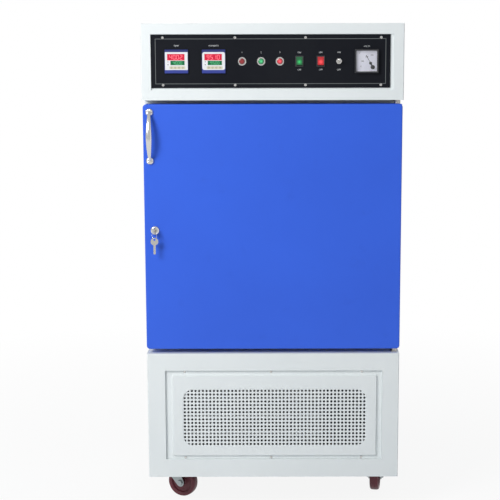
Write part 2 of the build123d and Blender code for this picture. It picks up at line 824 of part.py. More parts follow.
# Steam boiler: drum with a bolted lid, on three legs, and its fill, drain and steam pipes
lid_thickness = 8.0
lid_overhang = 10.0
boss_diameter = 26.0
boiler_y = back_y - boiler_setback
boss_end_y = boiler_y + boiler_diameter / 2 + 8.0
leg_size = 20.0
leg_circle = boiler_diameter / 2 - 14.0
heater_cap_diameter = 60.0
heater_cap_reach = 35.0
with BuildPart() as steam_boiler:
    drum = Plane(origin=(boiler_x, boiler_y, boiler_z))
    rod(drum, boiler_diameter, boiler_height)
    rod(drum.offset(boiler_height), boiler_diameter + 2 * lid_overhang, lid_thickness)
    with BuildSketch(drum) as legs:
        with PolarLocations(leg_circle, 3):
            Rectangle(leg_size, leg_size)
    extrude(legs.sketch, amount=-boiler_leg)
    for tail_z in (fill_tail_z, drain_tail_z):
        rod(facing_front(boss_end_y, boiler_x, tail_z), boss_diameter, boss_end_y - boiler_y)
    cap_root_y = boiler_y - boiler_diameter / 4
    cap_length = boiler_diameter / 4 + heater_cap_reach
    heater_cap = facing_front(cap_root_y, boiler_x, boiler_z + boiler_height / 3)
    rod(heater_cap, heater_cap_diameter, cap_length)
save("steam_boiler", steam_boiler)

# Each water pipe swells into a hose tail outside the back panel
tail_end_y = back_y + handle_reach
tail_wall = 2.0
water_pipes = []
for tail_z in (fill_tail_z, drain_tail_z):
    with BuildPart() as water_pipe:
        tail_end = facing_front(tail_end_y, tail_x, tail_z)
        rod(tail_end, water_pipe_diameter, tail_end_y - boss_end_y)
        rod(tail_end, hose_tail_diameter, hose_tail_length)
        rod(tail_end, hose_tail_diameter - 2 * tail_wall, hose_tail_length, Mode.SUBTRACT)
    water_pipes.append(water_pipe)
steam_run_z = boiler_top_z + lid_thickness + 50.0
steam_pipe = pipe(
    (
        (boiler_x, boiler_y, boiler_top_z + lid_thickness),
        (boiler_x, boiler_y, steam_run_z),
        (*steam_riser, steam_run_z),
        (*steam_riser, riser_joint_z),
    ),
    steam_pipe_diameter,
    23.0,
)
with BuildPart() as steam_injector:
    rod(Plane(origin=(*steam_riser, riser_joint_z)), steam_pipe_diameter, evaporator_z[1] - riser_joint_z)
save("boiler_pipes", *water_pipes, steam_pipe, steam_injector)

# Chamber shell: folded sheet box with a front lip, vent slots over the motor and the lock keeper
fan_rise = 80.0
circulation_z = chamber_z + fan_rise
keeper_lip = 13.0
keeper_sheet = 1.5
keeper_height = 26.0
keeper_y = door_back_y + 1.5
motor_vent_length = 64.0
motor_vent_height = 6.0
motor_vent_pitch = 14.0
motor_vent_rows = 5
with BuildPart() as cabinet_shell:
    block((-side_x, side_x), (shell_front_y, back_y), (deck_z, control_z))
    block(
        (-side_x + sheet, side_x - sheet),
        (shell_front_y + sheet, back_y - sheet),
        (deck_z + sheet, control_z - sheet),
        Mode.SUBTRACT,
    )
    panel(
        facing_front(shell_front_y + sheet + beyond, 0, chamber_z),
        cabinet_width - 2 * shell_lip,
        control_z - deck_z - 2 * shell_lip,
        sheet + 2 * beyond,
        mode=Mode.SUBTRACT,
    )
    with BuildSketch(facing_front(back_y + beyond, 0, circulation_z)) as motor_slots:
        with GridLocations(1, motor_vent_pitch, 1, motor_vent_rows):
            SlotOverall(motor_vent_length, motor_vent_height)
    extrude(motor_slots.sketch, amount=sheet + 2 * beyond, mode=Mode.SUBTRACT)
    bore_for_risers(deck_z - beyond, deck_z + sheet + beyond, seat_gap)
    keeper_z = (lock_z - keeper_height / 2, lock_z + keeper_height / 2)
    block((-side_x, -side_x + keeper_sheet), (keeper_y, shell_front_y), keeper_z)
    block((-side_x, -side_x + keeper_lip), (keeper_y, keeper_y + keeper_sheet), keeper_z)
save("cabinet_shell", cabinet_shell)

# Chamber liner: stainless box with coved edges and a flange over the shell's lip
shaft_hole = 16.0
with BuildPart() as chamber_liner:
    outside = facing_front(liner_back_y + liner_sheet, 0, chamber_z)
    outer_width = chamber_width + 2 * liner_sheet
    outer_height = chamber_height + 2 * liner_sheet
    panel(outside, outer_width, outer_height, chamber_depth + liner_sheet, chamber_cove + liner_sheet)
    panel(
        facing_front(shell_front_y, 0, chamber_z),
        chamber_width + 2 * liner_flange,
        chamber_height + 2 * liner_flange,
        liner_sheet,
    )
    inside = facing_front(liner_back_y, 0, chamber_z)
    panel(inside, chamber_width, chamber_height, chamber_depth + beyond, chamber_cove, Mode.SUBTRACT)
    rod(facing_front(liner_back_y + beyond, 0, circulation_z), shaft_hole, 2 * beyond, Mode.SUBTRACT)
    bore_for_risers(chamber_floor_z - liner_sheet - beyond, chamber_floor_z + beyond, seat_gap)
save("chamber_liner", chamber_liner)

# Insulation between shell and liner, with a pocket for the circulation motor
motor_flange_size = 116.0
motor_flange_thickness = 3.0
motor_pocket_gap = 4.0
motor_face_y = liner_back_y + liner_sheet
with BuildPart() as cabinet_insulation:
    inset = sheet + foam_gap
    block(
        (-side_x + inset, side_x - inset),
        (shell_front_y + inset, back_y - inset),
        (deck_z + inset, control_z - inset),
    )
    liner_room = 2 * (liner_sheet + foam_gap)
    panel(
        facing_front(motor_face_y + foam_gap, 0, chamber_z),
        chamber_width + liner_room,
        chamber_height + liner_room,
        chamber_depth + beyond,
        chamber_cove + liner_sheet,
        Mode.SUBTRACT,
    )
    pocket = facing_front(back_y + beyond, 0, circulation_z)
    pocket_depth = back_y + beyond - motor_face_y + beyond
    rod(pocket, motor_diameter + 2 * motor_pocket_gap, pocket_depth, Mode.SUBTRACT)
    flange_room = facing_front(motor_face_y + motor_flange_thickness + motor_pocket_gap, 0, circulation_z)
    flange_pocket = motor_flange_size + 2 * motor_pocket_gap
    panel(flange_room, flange_pocket, flange_pocket, 2 * beyond, mode=Mode.SUBTRACT)
    bore_for_risers(deck_z - beyond, chamber_floor_z + beyond, seat_gap)
save("cabinet_insulation", cabinet_insulation)

# Circulation motor behind the liner, and the impeller on its shaft in front of it
with BuildPart() as circulation_motor:
    backwards = Plane(origin=(0, motor_face_y, circulation_z), x_dir=(1, 0, 0), z_dir=(0, 1, 0))
    panel(backwards, motor_flange_size, motor_flange_size, motor_flange_thickness, 8.0)
    rod(backwards, motor_diameter, motor_length)
    bearing_bore = shaft_diameter + 2 * running_clearance
    rod(backwards.offset(-beyond), bearing_bore, motor_length / 2 + beyond, Mode.SUBTRACT)
save("circulation_motor", circulation_motor)

impeller_gap = 16.0
impeller_disc = 2.0
impeller_ring = 1.5
blade_chord = 28.0
impeller_blade_thickness = 1.5
impeller_blade_angle = 35.0
impeller_hub_diameter = 34.0
impeller_hub_length = 30.0
impeller_back_y = liner_back_y - impeller_gap
with BuildPart() as circulation_impeller:
    disc_plane = facing_front(impeller_back_y, 0, circulation_z)
    rod(disc_plane, impeller_diameter, impeller_disc)
    with BuildSketch(disc_plane) as blades:
        with PolarLocations(impeller_diameter / 2 - blade_chord / 2, impeller_blades):
            Rectangle(blade_chord, impeller_blade_thickness, rotation=impeller_blade_angle)
    extrude(blades.sketch, amount=impeller_depth - impeller_ring)
    with BuildSketch(disc_plane.offset(impeller_depth - impeller_ring)) as inlet_ring:
        Circle(impeller_diameter / 2)
        Circle(impeller_diameter / 2 - blade_chord, mode=Mode.SUBTRACT)
    extrude(inlet_ring.sketch, amount=impeller_ring)
    rod(disc_plane, impeller_hub_diameter, impeller_hub_length)
    shaft_end = motor_face_y + motor_length / 2 - beyond
    rod(facing_front(shaft_end, 0, circulation_z), shaft_diameter, shaft_end - impeller_back_y)
save("circulation_impeller", circulation_impeller)

# Air baffle: closes off the plenum, with a guarded intake and slots along its top and bottom
baffle_slot_length = 36.0
baffle_slot_height = 9.0
baffle_slot_pitch = 46.0
baffle_end_margin = 24.0
baffle_slots = int((chamber_width - 2 * baffle_end_margin) / baffle_slot_pitch)
baffle_slot_margin = 26.0
guard_bars = 5
guard_bar = 4.0
with BuildPart() as air_baffle:
    with BuildSketch(facing_front(baffle_y + liner_sheet, 0, chamber_z)):
        RectangleRounded(chamber_width - 2 * seat_gap, chamber_height - 2 * seat_gap, chamber_cove)
        for side in (1, -1):
            with Locations((0, side * (chamber_height / 2 - baffle_slot_margin))):
                with GridLocations(baffle_slot_pitch, 1, baffle_slots, 1):
                    Rectangle(baffle_slot_length, baffle_slot_height, mode=Mode.SUBTRACT)
    extrude(amount=liner_sheet)
    with BuildSketch(facing_front(baffle_y + beyond, 0, circulation_z)) as intake:
        Circle(intake_diameter / 2)
        with GridLocations(1, intake_diameter / (guard_bars + 1), 1, guard_bars):
            Rectangle(intake_diameter + beyond, guard_bar, mode=Mode.SUBTRACT)
    extrude(intake.sketch, amount=2 * beyond, mode=Mode.SUBTRACT)
save("air_baffle", air_baffle)

# Evaporator: finned block on two end plates that stand on the liner's floor
evaporator_thickness = 64.0
evaporator_fins = 24
with BuildPart() as evaporator_coil:
    coil_y = (plenum_y - evaporator_thickness / 2, plenum_y + evaporator_thickness / 2)
    block(evaporator_x, coil_y, evaporator_z)
    fin_pitch = (evaporator_x[1] - evaporator_x[0] - 2 * tube_header) / evaporator_fins
    coil_middle = ((evaporator_x[0] + evaporator_x[1]) / 2, (evaporator_z[0] + evaporator_z[1]) / 2)
    with BuildSketch(facing_front(coil_y[0] + fin_groove_depth, *coil_middle)) as grooves:
        with GridLocations(fin_pitch, 1, evaporator_fins, 1):
            Rectangle(fin_groove, evaporator_z[1] - evaporator_z[0] - 2 * tube_header)
    extrude(grooves.sketch, amount=fin_groove_depth + beyond, mode=Mode.SUBTRACT)
    for start in (evaporator_x[0], evaporator_x[1] - end_plate):
        block((start, start + end_plate), coil_y, (chamber_floor_z, evaporator_z[1]))
save("evaporator_coil", evaporator_coil)

# Air heater: one sheathed element bent into three runs, with both ends through the liner's back
heater_diameter = 10.0
heater_side_gap = 102.5
heater_half_width = chamber_width / 2 - heater_side_gap
heater_run_pitch = 36.0
heater_rise = 30.0
heater_bend_slack = 0.5
heater_z = evaporator_z[1] + heater_rise
air_heater = pipe(
    (
        (-heater_half_width, liner_back_y, heater_z),
        (-heater_half_width, plenum_y, heater_z),
        (heater_half_width, plenum_y, heater_z),
        (heater_half_width, plenum_y, heater_z + heater_run_pitch),
        (-heater_half_width, plenum_y, heater_z + heater_run_pitch),
        (-heater_half_width, plenum_y, heater_z + 2 * heater_run_pitch),
        (heater_half_width, plenum_y, heater_z + 2 * heater_run_pitch),
        (heater_half_width, liner_back_y, heater_z + 2 * heater_run_pitch),
    ),
    heater_diameter,
    heater_run_pitch / 2 - heater_bend_slack,
)
save("air_heater", air_heater)

# Dry-bulb and wet-bulb probes on the baffle; the wet one dips into a water cup
probe_insets = (70.5, 36.5)
probe_x = [chamber_width / 2 - inset for inset in probe_insets]
probe_top_z = chamber_z + chamber_height / 2 - 55.0
probe_holder_height = 12.0
cup_rise = 10.0
probe_length = 90.0
probe_diameter = 6.0
probe_standoff = 16.0
cup_diameter = 24.0
cup_height = 30.0
probes = []
for x in probe_x:
    with BuildPart() as probe:
        holder = (x - probe_diameter, x + probe_diameter)
        holder_z = (probe_top_z, probe_top_z + probe_holder_height)
        block(holder, (baffle_y - 2 * probe_standoff, baffle_y), holder_z)
        probe_y = baffle_y - probe_standoff
        hanging = Plane(origin=(x, probe_y, probe_top_z), x_dir=(1, 0, 0), z_dir=(0, 0, -1))
        rod(hanging, probe_diameter, probe_length)
        if x == probe_x[-1]:
            rod(hanging.offset(probe_length - cup_rise), cup_diameter, cup_height)
    probes.append(probe)
save("sensor_probes", *probes)

# Shelf runners on the side walls and two wire shelves that rest on them
runner_width = 14.0
runner_height = 16.0
runner_sheet = 1.5
shelf_front_y = chamber_front_y + 22.0
shelf_back_y = baffle_y - 40.0
shelf_side_gap = 4.0
shelf_rod = 6.0
shelf_wire = 4.0
shelf_wires = 15
runners = []
shelves = []
for height in shelf_heights:
    runner_top = chamber_floor_z + height
    for side in (1, -1):
        with BuildPart() as runner:
            wall = side * chamber_width / 2
            upright = sorted((wall, wall - side * runner_sheet))
            ledge = sorted((wall, wall - side * runner_width))
            block(upright, (shelf_front_y, shelf_back_y), (runner_top - runner_height, runner_top))
            block(ledge, (shelf_front_y, shelf_back_y), (runner_top - runner_sheet, runner_top))
        runners.append(runner)
    with BuildPart() as shelf:
        half_width = chamber_width / 2 - shelf_side_gap
        shelf_z = (runner_top, runner_top + shelf_rod)
        block((-half_width, half_width), (shelf_front_y, shelf_back_y), shelf_z)
        block(
            (-half_width + shelf_rod, half_width - shelf_rod),
            (shelf_front_y + shelf_rod, shelf_back_y - shelf_rod),
            (runner_top - beyond, runner_top + shelf_rod + beyond),
            Mode.SUBTRACT,
        )
        wire_pitch = 2 * half_width / (shelf_wires + 1)
        shelf_middle = ((shelf_front_y + shelf_back_y) / 2, runner_top + shelf_rod - shelf_wire / 2)
        with Locations((0, *shelf_middle)):
            with GridLocations(wire_pitch, 1, shelf_wires, 1):
                Box(shelf_wire, shelf_back_y - shelf_front_y - shelf_rod, shelf_wire)
    shelves.append(shelf)
save("shelf_runners", *runners)
save("wire_shelves", *shelves)

# Control box: closed sheet box with a folded ledge behind its front opening
opening_width = control_box_width - 2 * opening_side_margin
opening_height = control_box_height - opening_below_top - opening_above_base
opening_z = top_z - opening_below_top - opening_height / 2
plate_width = opening_width - plate_left_gap - plate_right_gap
plate_height = opening_height - plate_top_gap - plate_bottom_gap
plate_x = opening_shift - opening_width / 2 + plate_left_gap + plate_width / 2
plate_z = opening_z + opening_height / 2 - plate_top_gap - plate_height / 2
plate_front_y = front_y + ledge_depth - plate_thickness
spread = cabinet_width / drawn_width
plate_screw_x = [place * spread for place in plate_screw_places]
controller_x = [place * spread for place in controller_places]
lamp_x = [place * spread for place in lamp_places]
rocker_x = [place * spread for place in rocker_places]
toggle_x = toggle_place * spread
voltmeter_x = voltmeter_place * spread
plate_screws = [
    (x, plate_z + side * (plate_height / 2 - plate_screw_margin))
    for side in (1, -1)
    for x in plate_screw_x
]
box_side_x = control_box_width / 2
box_vent_length = 80.0
box_vent_height = 6.0
box_vent_pitch_x = 110.0
box_vent_pitch_z = 16.0
with BuildPart() as control_box:
    block((-box_side_x, box_side_x), (front_y, back_y), (control_z, top_z))
    fillet(control_box.edges().filter_by(Axis.Z), edge_radius)
    block(
        (-box_side_x + sheet, box_side_x - sheet),
        (front_y + sheet, back_y - sheet),
        (control_z + sheet, top_z - sheet),
        Mode.SUBTRACT,
    )
    recessed_seat((opening_shift, opening_z), opening_width, opening_height, ledge_depth, ledge_width)
    behind_ledge_y = front_y + ledge_depth + 2 * sheet
    for x, z in plate_screws:
        rod(facing_front(behind_ledge_y, x, z), screw_hole_diameter, 3 * sheet, Mode.SUBTRACT)
    with BuildSketch(facing_front(back_y + beyond, 0, opening_z)) as vents:
        with GridLocations(box_vent_pitch_x, box_vent_pitch_z, 3, 5):
            SlotOverall(box_vent_length, box_vent_height)
    extrude(vents.sketch, amount=sheet + 2 * beyond, mode=Mode.SUBTRACT)
save("control_box", control_box)

# Instrument plate, cut out for everything that it carries
rocker_swing_gap = 1.3
rocker_side_wall = 1.6
rocker_end_wall = 1.4
rocker_cavity_width = rocker_width + 2 * seat_gap
rocker_cavity_height = rocker_height + 2 * rocker_swing_gap
rocker_body_width = rocker_cavity_width + 2 * rocker_side_wall
rocker_body_height = rocker_cavity_height + 2 * rocker_end_wall
toggle_bush_diameter = 12.0
voltmeter_barrel_diameter = 62.0
with BuildPart() as instrument_plate:
    plate_back = facing_front(front_y + ledge_depth, plate_x, plate_z)
    panel(plate_back, plate_width, plate_height, plate_thickness)
    cut = plate_thickness + 2 * beyond
    for x in controller_x:
        side = controller_body + 2 * seat_gap
        panel(facing_front(front_y + 2 * beyond, x, plate_z), side, side, cut, mode=Mode.SUBTRACT)
    for x in rocker_x:
        panel(
            facing_front(front_y + 2 * beyond, x, plate_z),
            rocker_body_width + 2 * seat_gap,
            rocker_body_height + 2 * seat_gap,
            cut,
            mode=Mode.SUBTRACT,
        )
    holes = [(x, plate_z, lamp_hole_diameter) for x in lamp_x]
    holes += [(toggle_x, plate_z, toggle_bush_diameter)]
    holes += [(voltmeter_x, plate_z, voltmeter_barrel_diameter)]
    holes += [(x, z, screw_shank_diameter) for x, z in plate_screws]
    for x, z, diameter in holes:
        bore = diameter + 2 * seat_gap
        rod(facing_front(front_y + 2 * beyond, x, z), bore, cut, Mode.SUBTRACT)
save("instrument_plate", instrument_plate)

# Temperature and humidity controllers: bezel with two sunk display windows, square body behind
window_depth = 0.8
controller_corner = 2.0
controller_bevel = 1.0
upper_window = (-1.5, 13.0, 53.0, 19.0)
lower_window = (3.5, -4.5, 43.0, 13.0)


def controller(x):
    """A panel controller whose middle is at x on the plate's middle line."""
    with BuildPart() as unit:
        bezel_back = facing_front(plate_front_y, x, plate_z)
        panel(bezel_back, controller_size, controller_size, controller_proud, controller_corner)
        chamfer(unit.faces().sort_by(Axis.Y)[0].edges(), controller_bevel)
        panel(bezel_back, controller_body, controller_body, -controller_depth)
        window_y = plate_front_y - controller_proud + window_depth
        for shift, rise, width, height in (upper_window, lower_window):
            window = facing_front(window_y, x + shift, plate_z + rise)
            panel(window, width, height, window_depth + beyond, mode=Mode.SUBTRACT)
    return unit


save("temperature_controller", controller(controller_x[0]))
save("humidity_controller", controller(controller_x[1]))

# Indicator lamps: bezel with its body behind the plate, and a domed lens seated in the bezel
lamp_bezel_proud = 3.5
lamp_bezel_bevel = 1.2
lamp_body_length = 38.0
lens_seat_depth = 2.5
lens_proud = 4.0
bezels = []
lenses = []
for x in lamp_x:
    with BuildPart() as bezel:
        bezel_back = facing_front(plate_front_y, x, plate_z)
        rod(bezel_back, lamp_bezel_diameter, lamp_bezel_proud)
        chamfer(bezel.edges().filter_by(GeomType.CIRCLE).sort_by(Axis.Y)[0], lamp_bezel_bevel)
        rod(bezel_back, lamp_hole_diameter, -lamp_body_length)
        seat = facing_front(plate_front_y - lamp_bezel_proud + lens_seat_depth, x, plate_z)
        rod(seat, lamp_lens_diameter + 2 * seat_gap, lens_seat_depth + beyond, Mode.SUBTRACT)
    bezels.append(bezel)
    with BuildPart() as lens:
        rod(seat, lamp_lens_diameter, lens_seat_depth + lens_proud)
        fillet(lens.edges().filter_by(GeomType.CIRCLE).sort_by(Axis.Y)[0], lens_proud)
    lenses.append(lens)
save("lamp_bezels", *bezels)
save("lamp_lenses", *lenses)


def leaning_out(x, y, z, tilt):
    """A side-profile plane: local x points forwards, tilted up by an angle; the normal is +X."""
    forwards = (0, -cos(radians(tilt)), sin(radians(tilt)))
    return Plane(origin=(x, y, z), x_dir=forwards, z_dir=(1, 0, 0))


# Rocker switches: frame with a sunk cavity, and a rocker on two stub pins, its lower half out
rocker_frame_proud = 2.5
rocker_frame_corner = 2.0
rocker_pivot_y = plate_front_y + 3.0
rocker_front = 6.3
rocker_back = 4.0
rocker_pin_diameter = 3.0
rocker_pin_reach = 1.0
rocker_cavity_depth = 10.5
rocker_body_depth = 28.0
frames = []
for x in rocker_x:
    with BuildPart() as frame:
        frame_back = facing_front(plate_front_y, x, plate_z)
        outline = (rocker_frame_width, rocker_frame_height)
        panel(frame_back, *outline, rocker_frame_proud, rocker_frame_corner)
        panel(frame_back, rocker_body_width, rocker_body_height, -rocker_body_depth)
        cavity = facing_front(plate_front_y + rocker_cavity_depth, x, plate_z)
        cavity_length = rocker_cavity_depth + rocker_frame_proud + beyond
        panel(cavity, rocker_cavity_width, rocker_cavity_height, cavity_length, mode=Mode.SUBTRACT)
        pin_room = rocker_cavity_width / 2 + rocker_pin_reach + seat_gap
        bore_start = Plane(origin=(x - pin_room, rocker_pivot_y, plate_z), z_dir=(1, 0, 0))
        rod(bore_start, rocker_pin_diameter + 2 * running_clearance, 2 * pin_room, Mode.SUBTRACT)
    frames.append(frame)
save("rocker_frames", *frames)

for name, x in zip(("rocker_green", "rocker_red"), rocker_x):
    with BuildPart() as rocker:
        half = rocker_height / 2
        rise = half * sin(radians(rocker_tilt)) / cos(radians(rocker_tilt))
        side_plane = leaning_out(x - rocker_width / 2, rocker_pivot_y, plate_z, rocker_tilt)
        with BuildSketch(side_plane) as profile:
            with BuildLine():
                Polyline(
                    (-rocker_back, -half),
                    (rocker_front + rise, -half),
                    (rocker_front, 0),
                    (rocker_front + rise, half),
                    (-rocker_back, half),
                    close=True,
                )
            make_face()
        extrude(profile.sketch, amount=rocker_width)
        pin_half = rocker_cavity_width / 2 + rocker_pin_reach
        pin_start = Plane(origin=(x - pin_half, rocker_pivot_y, plate_z), z_dir=(1, 0, 0))
        rod(pin_start, rocker_pin_diameter, 2 * pin_half)
    save(name, rocker)

# Toggle switch: threaded bush with its nut, and a lever whose ball turns in the bush
toggle_nut_flats = 16.0
toggle_nut_thickness = 2.5
toggle_bush_proud = 9.0
toggle_ball_diameter = 9.0
toggle_mouth_diameter = 8.0
toggle_ball_y = plate_front_y - 4.0
toggle_neck_diameter = 4.0
toggle_tip_diameter = 6.0
toggle_lever_length = 20.0
toggle_body_depth = 26.0
toggle_body_width = toggle_bush_diameter + 2.0
toggle_body_height = 26.4
toggle_tip_length = 6.0
toggle_tip_round = 1.5
with BuildPart() as toggle_bush:
    bush_back = facing_front(plate_front_y, toggle_x, plate_z)
    rod(bush_back, toggle_bush_diameter, toggle_bush_proud)
    with BuildSketch(bush_back) as nut:
        RegularPolygon(toggle_nut_flats / 2, 6, major_radius=False)
    extrude(nut.sketch, amount=toggle_nut_thickness)
    rod(bush_back, toggle_bush_diameter, -plate_thickness - seat_gap)
    body_front = facing_front(front_y + ledge_depth, toggle_x, plate_z)
    panel(body_front, toggle_body_width, toggle_body_height, -toggle_body_depth)
    ball_centre = (toggle_x, toggle_ball_y, plate_z)
    with Locations(ball_centre):
        Sphere(toggle_ball_diameter / 2 + seat_gap, mode=Mode.SUBTRACT)
    rod(facing_front(toggle_ball_y, toggle_x, plate_z), toggle_mouth_diameter, 2 * beyond, Mode.SUBTRACT)
save("toggle_bush", toggle_bush)

with BuildPart() as toggle_lever:
    with Locations(ball_centre):
        Sphere(toggle_ball_diameter / 2)
    upwards = (0, -cos(radians(toggle_tilt)), sin(radians(toggle_tilt)))
    lever_plane = Plane(origin=ball_centre, x_dir=(1, 0, 0), z_dir=upwards)
    rod(lever_plane, toggle_neck_diameter, toggle_lever_length)
    rod(lever_plane.offset(toggle_lever_length - toggle_tip_length), toggle_tip_diameter, toggle_tip_length)
    fillet(toggle_lever.edges().filter_by(GeomType.CIRCLE).sort_by(Axis.Y)[0], toggle_tip_round)
save("toggle_lever", toggle_lever)

# Voltmeter: square case, clear window, and a needle whose pivot is near the lower right corner
voltmeter_cavity_depth = 9.0
voltmeter_barrel_length = 45.0
voltmeter_window_thickness = 1.5
voltmeter_window_sunk = 0.6
voltmeter_corner = 2.0
voltmeter_bevel = 1.5
needle_hub_diameter = 13.0
needle_weight_diameter = 9.0
needle_weight_distance = 14.0
needle_width = 1.2
needle_thickness = 0.6
needle_pin_diameter = 2.0
needle_pin_depth = 3.0
needle_gap = 1.0
voltmeter_front_y = plate_front_y - voltmeter_proud
face_y = voltmeter_front_y + voltmeter_cavity_depth
needle_x = voltmeter_x + needle_pivot_offset
needle_z = plate_z - needle_pivot_offset
with BuildPart() as voltmeter_case:
    case_back = facing_front(plate_front_y, voltmeter_x, plate_z)
    panel(case_back, voltmeter_size, voltmeter_size, voltmeter_proud, voltmeter_corner)
    chamfer(voltmeter_case.faces().sort_by(Axis.Y)[0].edges(), voltmeter_bevel)
    rod(case_back, voltmeter_barrel_diameter, -voltmeter_barrel_length)
    cavity = facing_front(face_y, voltmeter_x, plate_z)
    cavity_length = voltmeter_cavity_depth + beyond
    panel(cavity, voltmeter_face, voltmeter_face, cavity_length, mode=Mode.SUBTRACT)
    pin_bore = needle_pin_diameter + 2 * running_clearance
    bore_bottom = facing_front(face_y + needle_pin_depth + seat_gap, needle_x, needle_z)
    rod(bore_bottom, pin_bore, 2 * beyond, Mode.SUBTRACT)
save("voltmeter_case", voltmeter_case)

with BuildPart() as voltmeter_window:
    window_back = voltmeter_front_y + voltmeter_window_sunk + voltmeter_window_thickness
    window_side = voltmeter_face - 2 * seat_gap
    window_plane = facing_front(window_back, voltmeter_x, plate_z)
    panel(window_plane, window_side, window_side, voltmeter_window_thickness)
save("voltmeter_window", voltmeter_window)

with BuildPart() as voltmeter_needle:
    lean = (-sin(radians(needle_angle)), cos(radians(needle_angle)))
    needle_back = facing_front(face_y - needle_gap, needle_x, needle_z)
    with BuildSketch(needle_back) as pointer:
        with Locations((lean[0] * needle_length / 2, lean[1] * needle_length / 2)):
            Rectangle(needle_width, needle_length, rotation=needle_angle)
    extrude(pointer.sketch, amount=needle_thickness)
    with BuildSketch(needle_back) as hub:
        Circle(needle_hub_diameter / 2)
        with Locations((lean[0] * needle_weight_distance, lean[1] * needle_weight_distance)):
            Circle(needle_weight_diameter / 2)
        with Locations((lean[0] * needle_weight_distance / 2, lean[1] * needle_weight_distance / 2)):
            Rectangle(needle_weight_diameter / 2, needle_weight_distance, rotation=needle_angle)
    extrude(hub.sketch, amount=2 * needle_thickness)
    rod(needle_back, needle_pin_diameter, -needle_gap - needle_pin_depth)
save("voltmeter_needle", voltmeter_needle)

# Screws of the instrument plate and of the vent panel
screw_length = 14.0
screw_head_bevel = 0.8
screws = []
spots = [(x, front_y + ledge_depth - plate_thickness, z) for x, z in plate_screws]
spots += [(x, vent_flange_y, z) for x, z in vent_screws]
for x, under_head_y, z in spots:
    with BuildPart() as screw:
        under_head = facing_front(under_head_y, x, z)
        rod(under_head, screw_head_diameter, screw_head_height)
        chamfer(screw.edges().filter_by(GeomType.CIRCLE).sort_by(Axis.Y)[0], screw_head_bevel)
        rod(under_head, screw_shank_diameter - 2 * seat_gap, -screw_length)
    screws.append(screw)
save("panel_screws", *screws)

# Door skin: deep pan with round corners, open behind, with a bored block at each pivot
door_mid_z = (door_z + door_top_z) / 2
pivot_bore = pivot_pin_diameter + 2 * running_clearance
boss_width = 30.0
boss_depth = 40.0
boss_height = 25.0
boss_inner_x = pivot_x - boss_width / 2
with BuildPart() as door_hollow:
    hollow_plane = facing_front(door_back_y + beyond, 0, door_mid_z)
    hollow_depth = door_thickness + beyond - door_sheet
    hollow_corner = door_corner - door_sheet
    hollow_width = door_width - 2 * door_sheet
    hollow_height = door_height - 2 * door_sheet
    panel(hollow_plane, hollow_width, hollow_height, hollow_depth, hollow_corner)
    fillet(door_hollow.faces().sort_by(Axis.Y)[0].edges(), door_edge - door_sheet)

with BuildPart() as door_skin:
    skin_plane = facing_front(door_back_y, 0, door_mid_z)
    panel(skin_plane, door_width, door_height, door_thickness, door_corner)
    fillet(door_skin.faces().sort_by(Axis.Y)[0].edges(), door_edge)
    add(door_hollow.part, mode=Mode.SUBTRACT)
    boss_y = (pivot_y - boss_depth / 2, pivot_y + boss_depth / 2)
    boss_x = (boss_inner_x, door_width / 2 - door_sheet)
    for edge_z, inwards in ((door_top_z, -1), (door_z, 1)):
        boss_z = sorted((edge_z + inwards * door_sheet, edge_z + inwards * boss_height))
        block(boss_x, boss_y, boss_z)
        outside = Plane(origin=(pivot_x, pivot_y, edge_z - inwards * beyond), z_dir=(0, 0, inwards))
        rod(outside, pivot_bore, beyond + pivot_pin_reach + seat_gap, Mode.SUBTRACT)
    barrel_room = lock_barrel_diameter + 2 * seat_gap
    rod(facing_front(door_back_y, lock_x, lock_z), barrel_room, door_thickness + beyond, Mode.SUBTRACT)
save("door_skin", door_skin)

# Inner door pan: a plate inside the skin's open back, with a raised plug that enters the chamber
plug_width = chamber_width - 2 * plug_clearance
plug_height = chamber_height - 2 * plug_clearance
plug_back_y = door_back_y + plug_depth
pan_gap = door_sheet + seat_gap
with BuildPart() as door_inner_pan:
    pan_plane = facing_front(door_back_y, 0, door_mid_z)
    pan_corner = door_corner - pan_gap
    panel(pan_plane, door_width - 2 * pan_gap, door_height - 2 * pan_gap, liner_sheet, pan_corner)
    plug_plane = facing_front(plug_back_y, 0, chamber_z)
    panel(plug_plane, plug_width, plug_height, plug_depth, chamber_cove)
    inner_plane = facing_front(plug_back_y - liner_sheet, 0, chamber_z)
    inner_width = plug_width - 2 * liner_sheet
    inner_height = plug_height - 2 * liner_sheet
    panel(inner_plane, inner_width, inner_height, plug_depth + beyond, chamber_cove, Mode.SUBTRACT)
    rod(facing_front(door_back_y + beyond, lock_x, lock_z), barrel_room, 3 * beyond, Mode.SUBTRACT)
save("door_inner_pan", door_inner_pan)

# Door insulation: fills the skin and the plug
with BuildPart() as door_insulation:
    foam_inset = door_sheet + foam_gap
    foam_plane = facing_front(door_back_y - liner_sheet - foam_gap, 0, door_mid_z)
    foam_depth = door_thickness - foam_inset - liner_sheet - foam_gap
    foam_width = door_width - 2 * foam_inset
    foam_height = door_height - 2 * foam_inset
    panel(foam_plane, foam_width, foam_height, foam_depth, door_corner - foam_inset)
    fillet(door_insulation.faces().sort_by(Axis.Y)[0].edges(), door_edge - foam_inset)
    plug_foam = facing_front(plug_back_y - liner_sheet - foam_gap, 0, chamber_z)
    plug_foam_width = inner_width - 2 * foam_gap
    plug_foam_height = inner_height - 2 * foam_gap
    panel(plug_foam, plug_foam_width, plug_foam_height, plug_depth, chamber_cove)
    boss_room_x = (boss_inner_x - foam_gap, door_width / 2 + beyond)
    boss_room_y = (front_y, door_back_y + beyond)
    for edge_z, inwards in ((door_top_z, -1), (door_z, 1)):
        boss_room_z = sorted((edge_z - inwards * beyond, edge_z + inwards * (boss_height + foam_gap)))
        block(boss_room_x, boss_room_y, boss_room_z, Mode.SUBTRACT)
    rod(facing_front(door_back_y, lock_x, lock_z), barrel_room, door_thickness + beyond, Mode.SUBTRACT)
save("door_insulation", door_insulation)

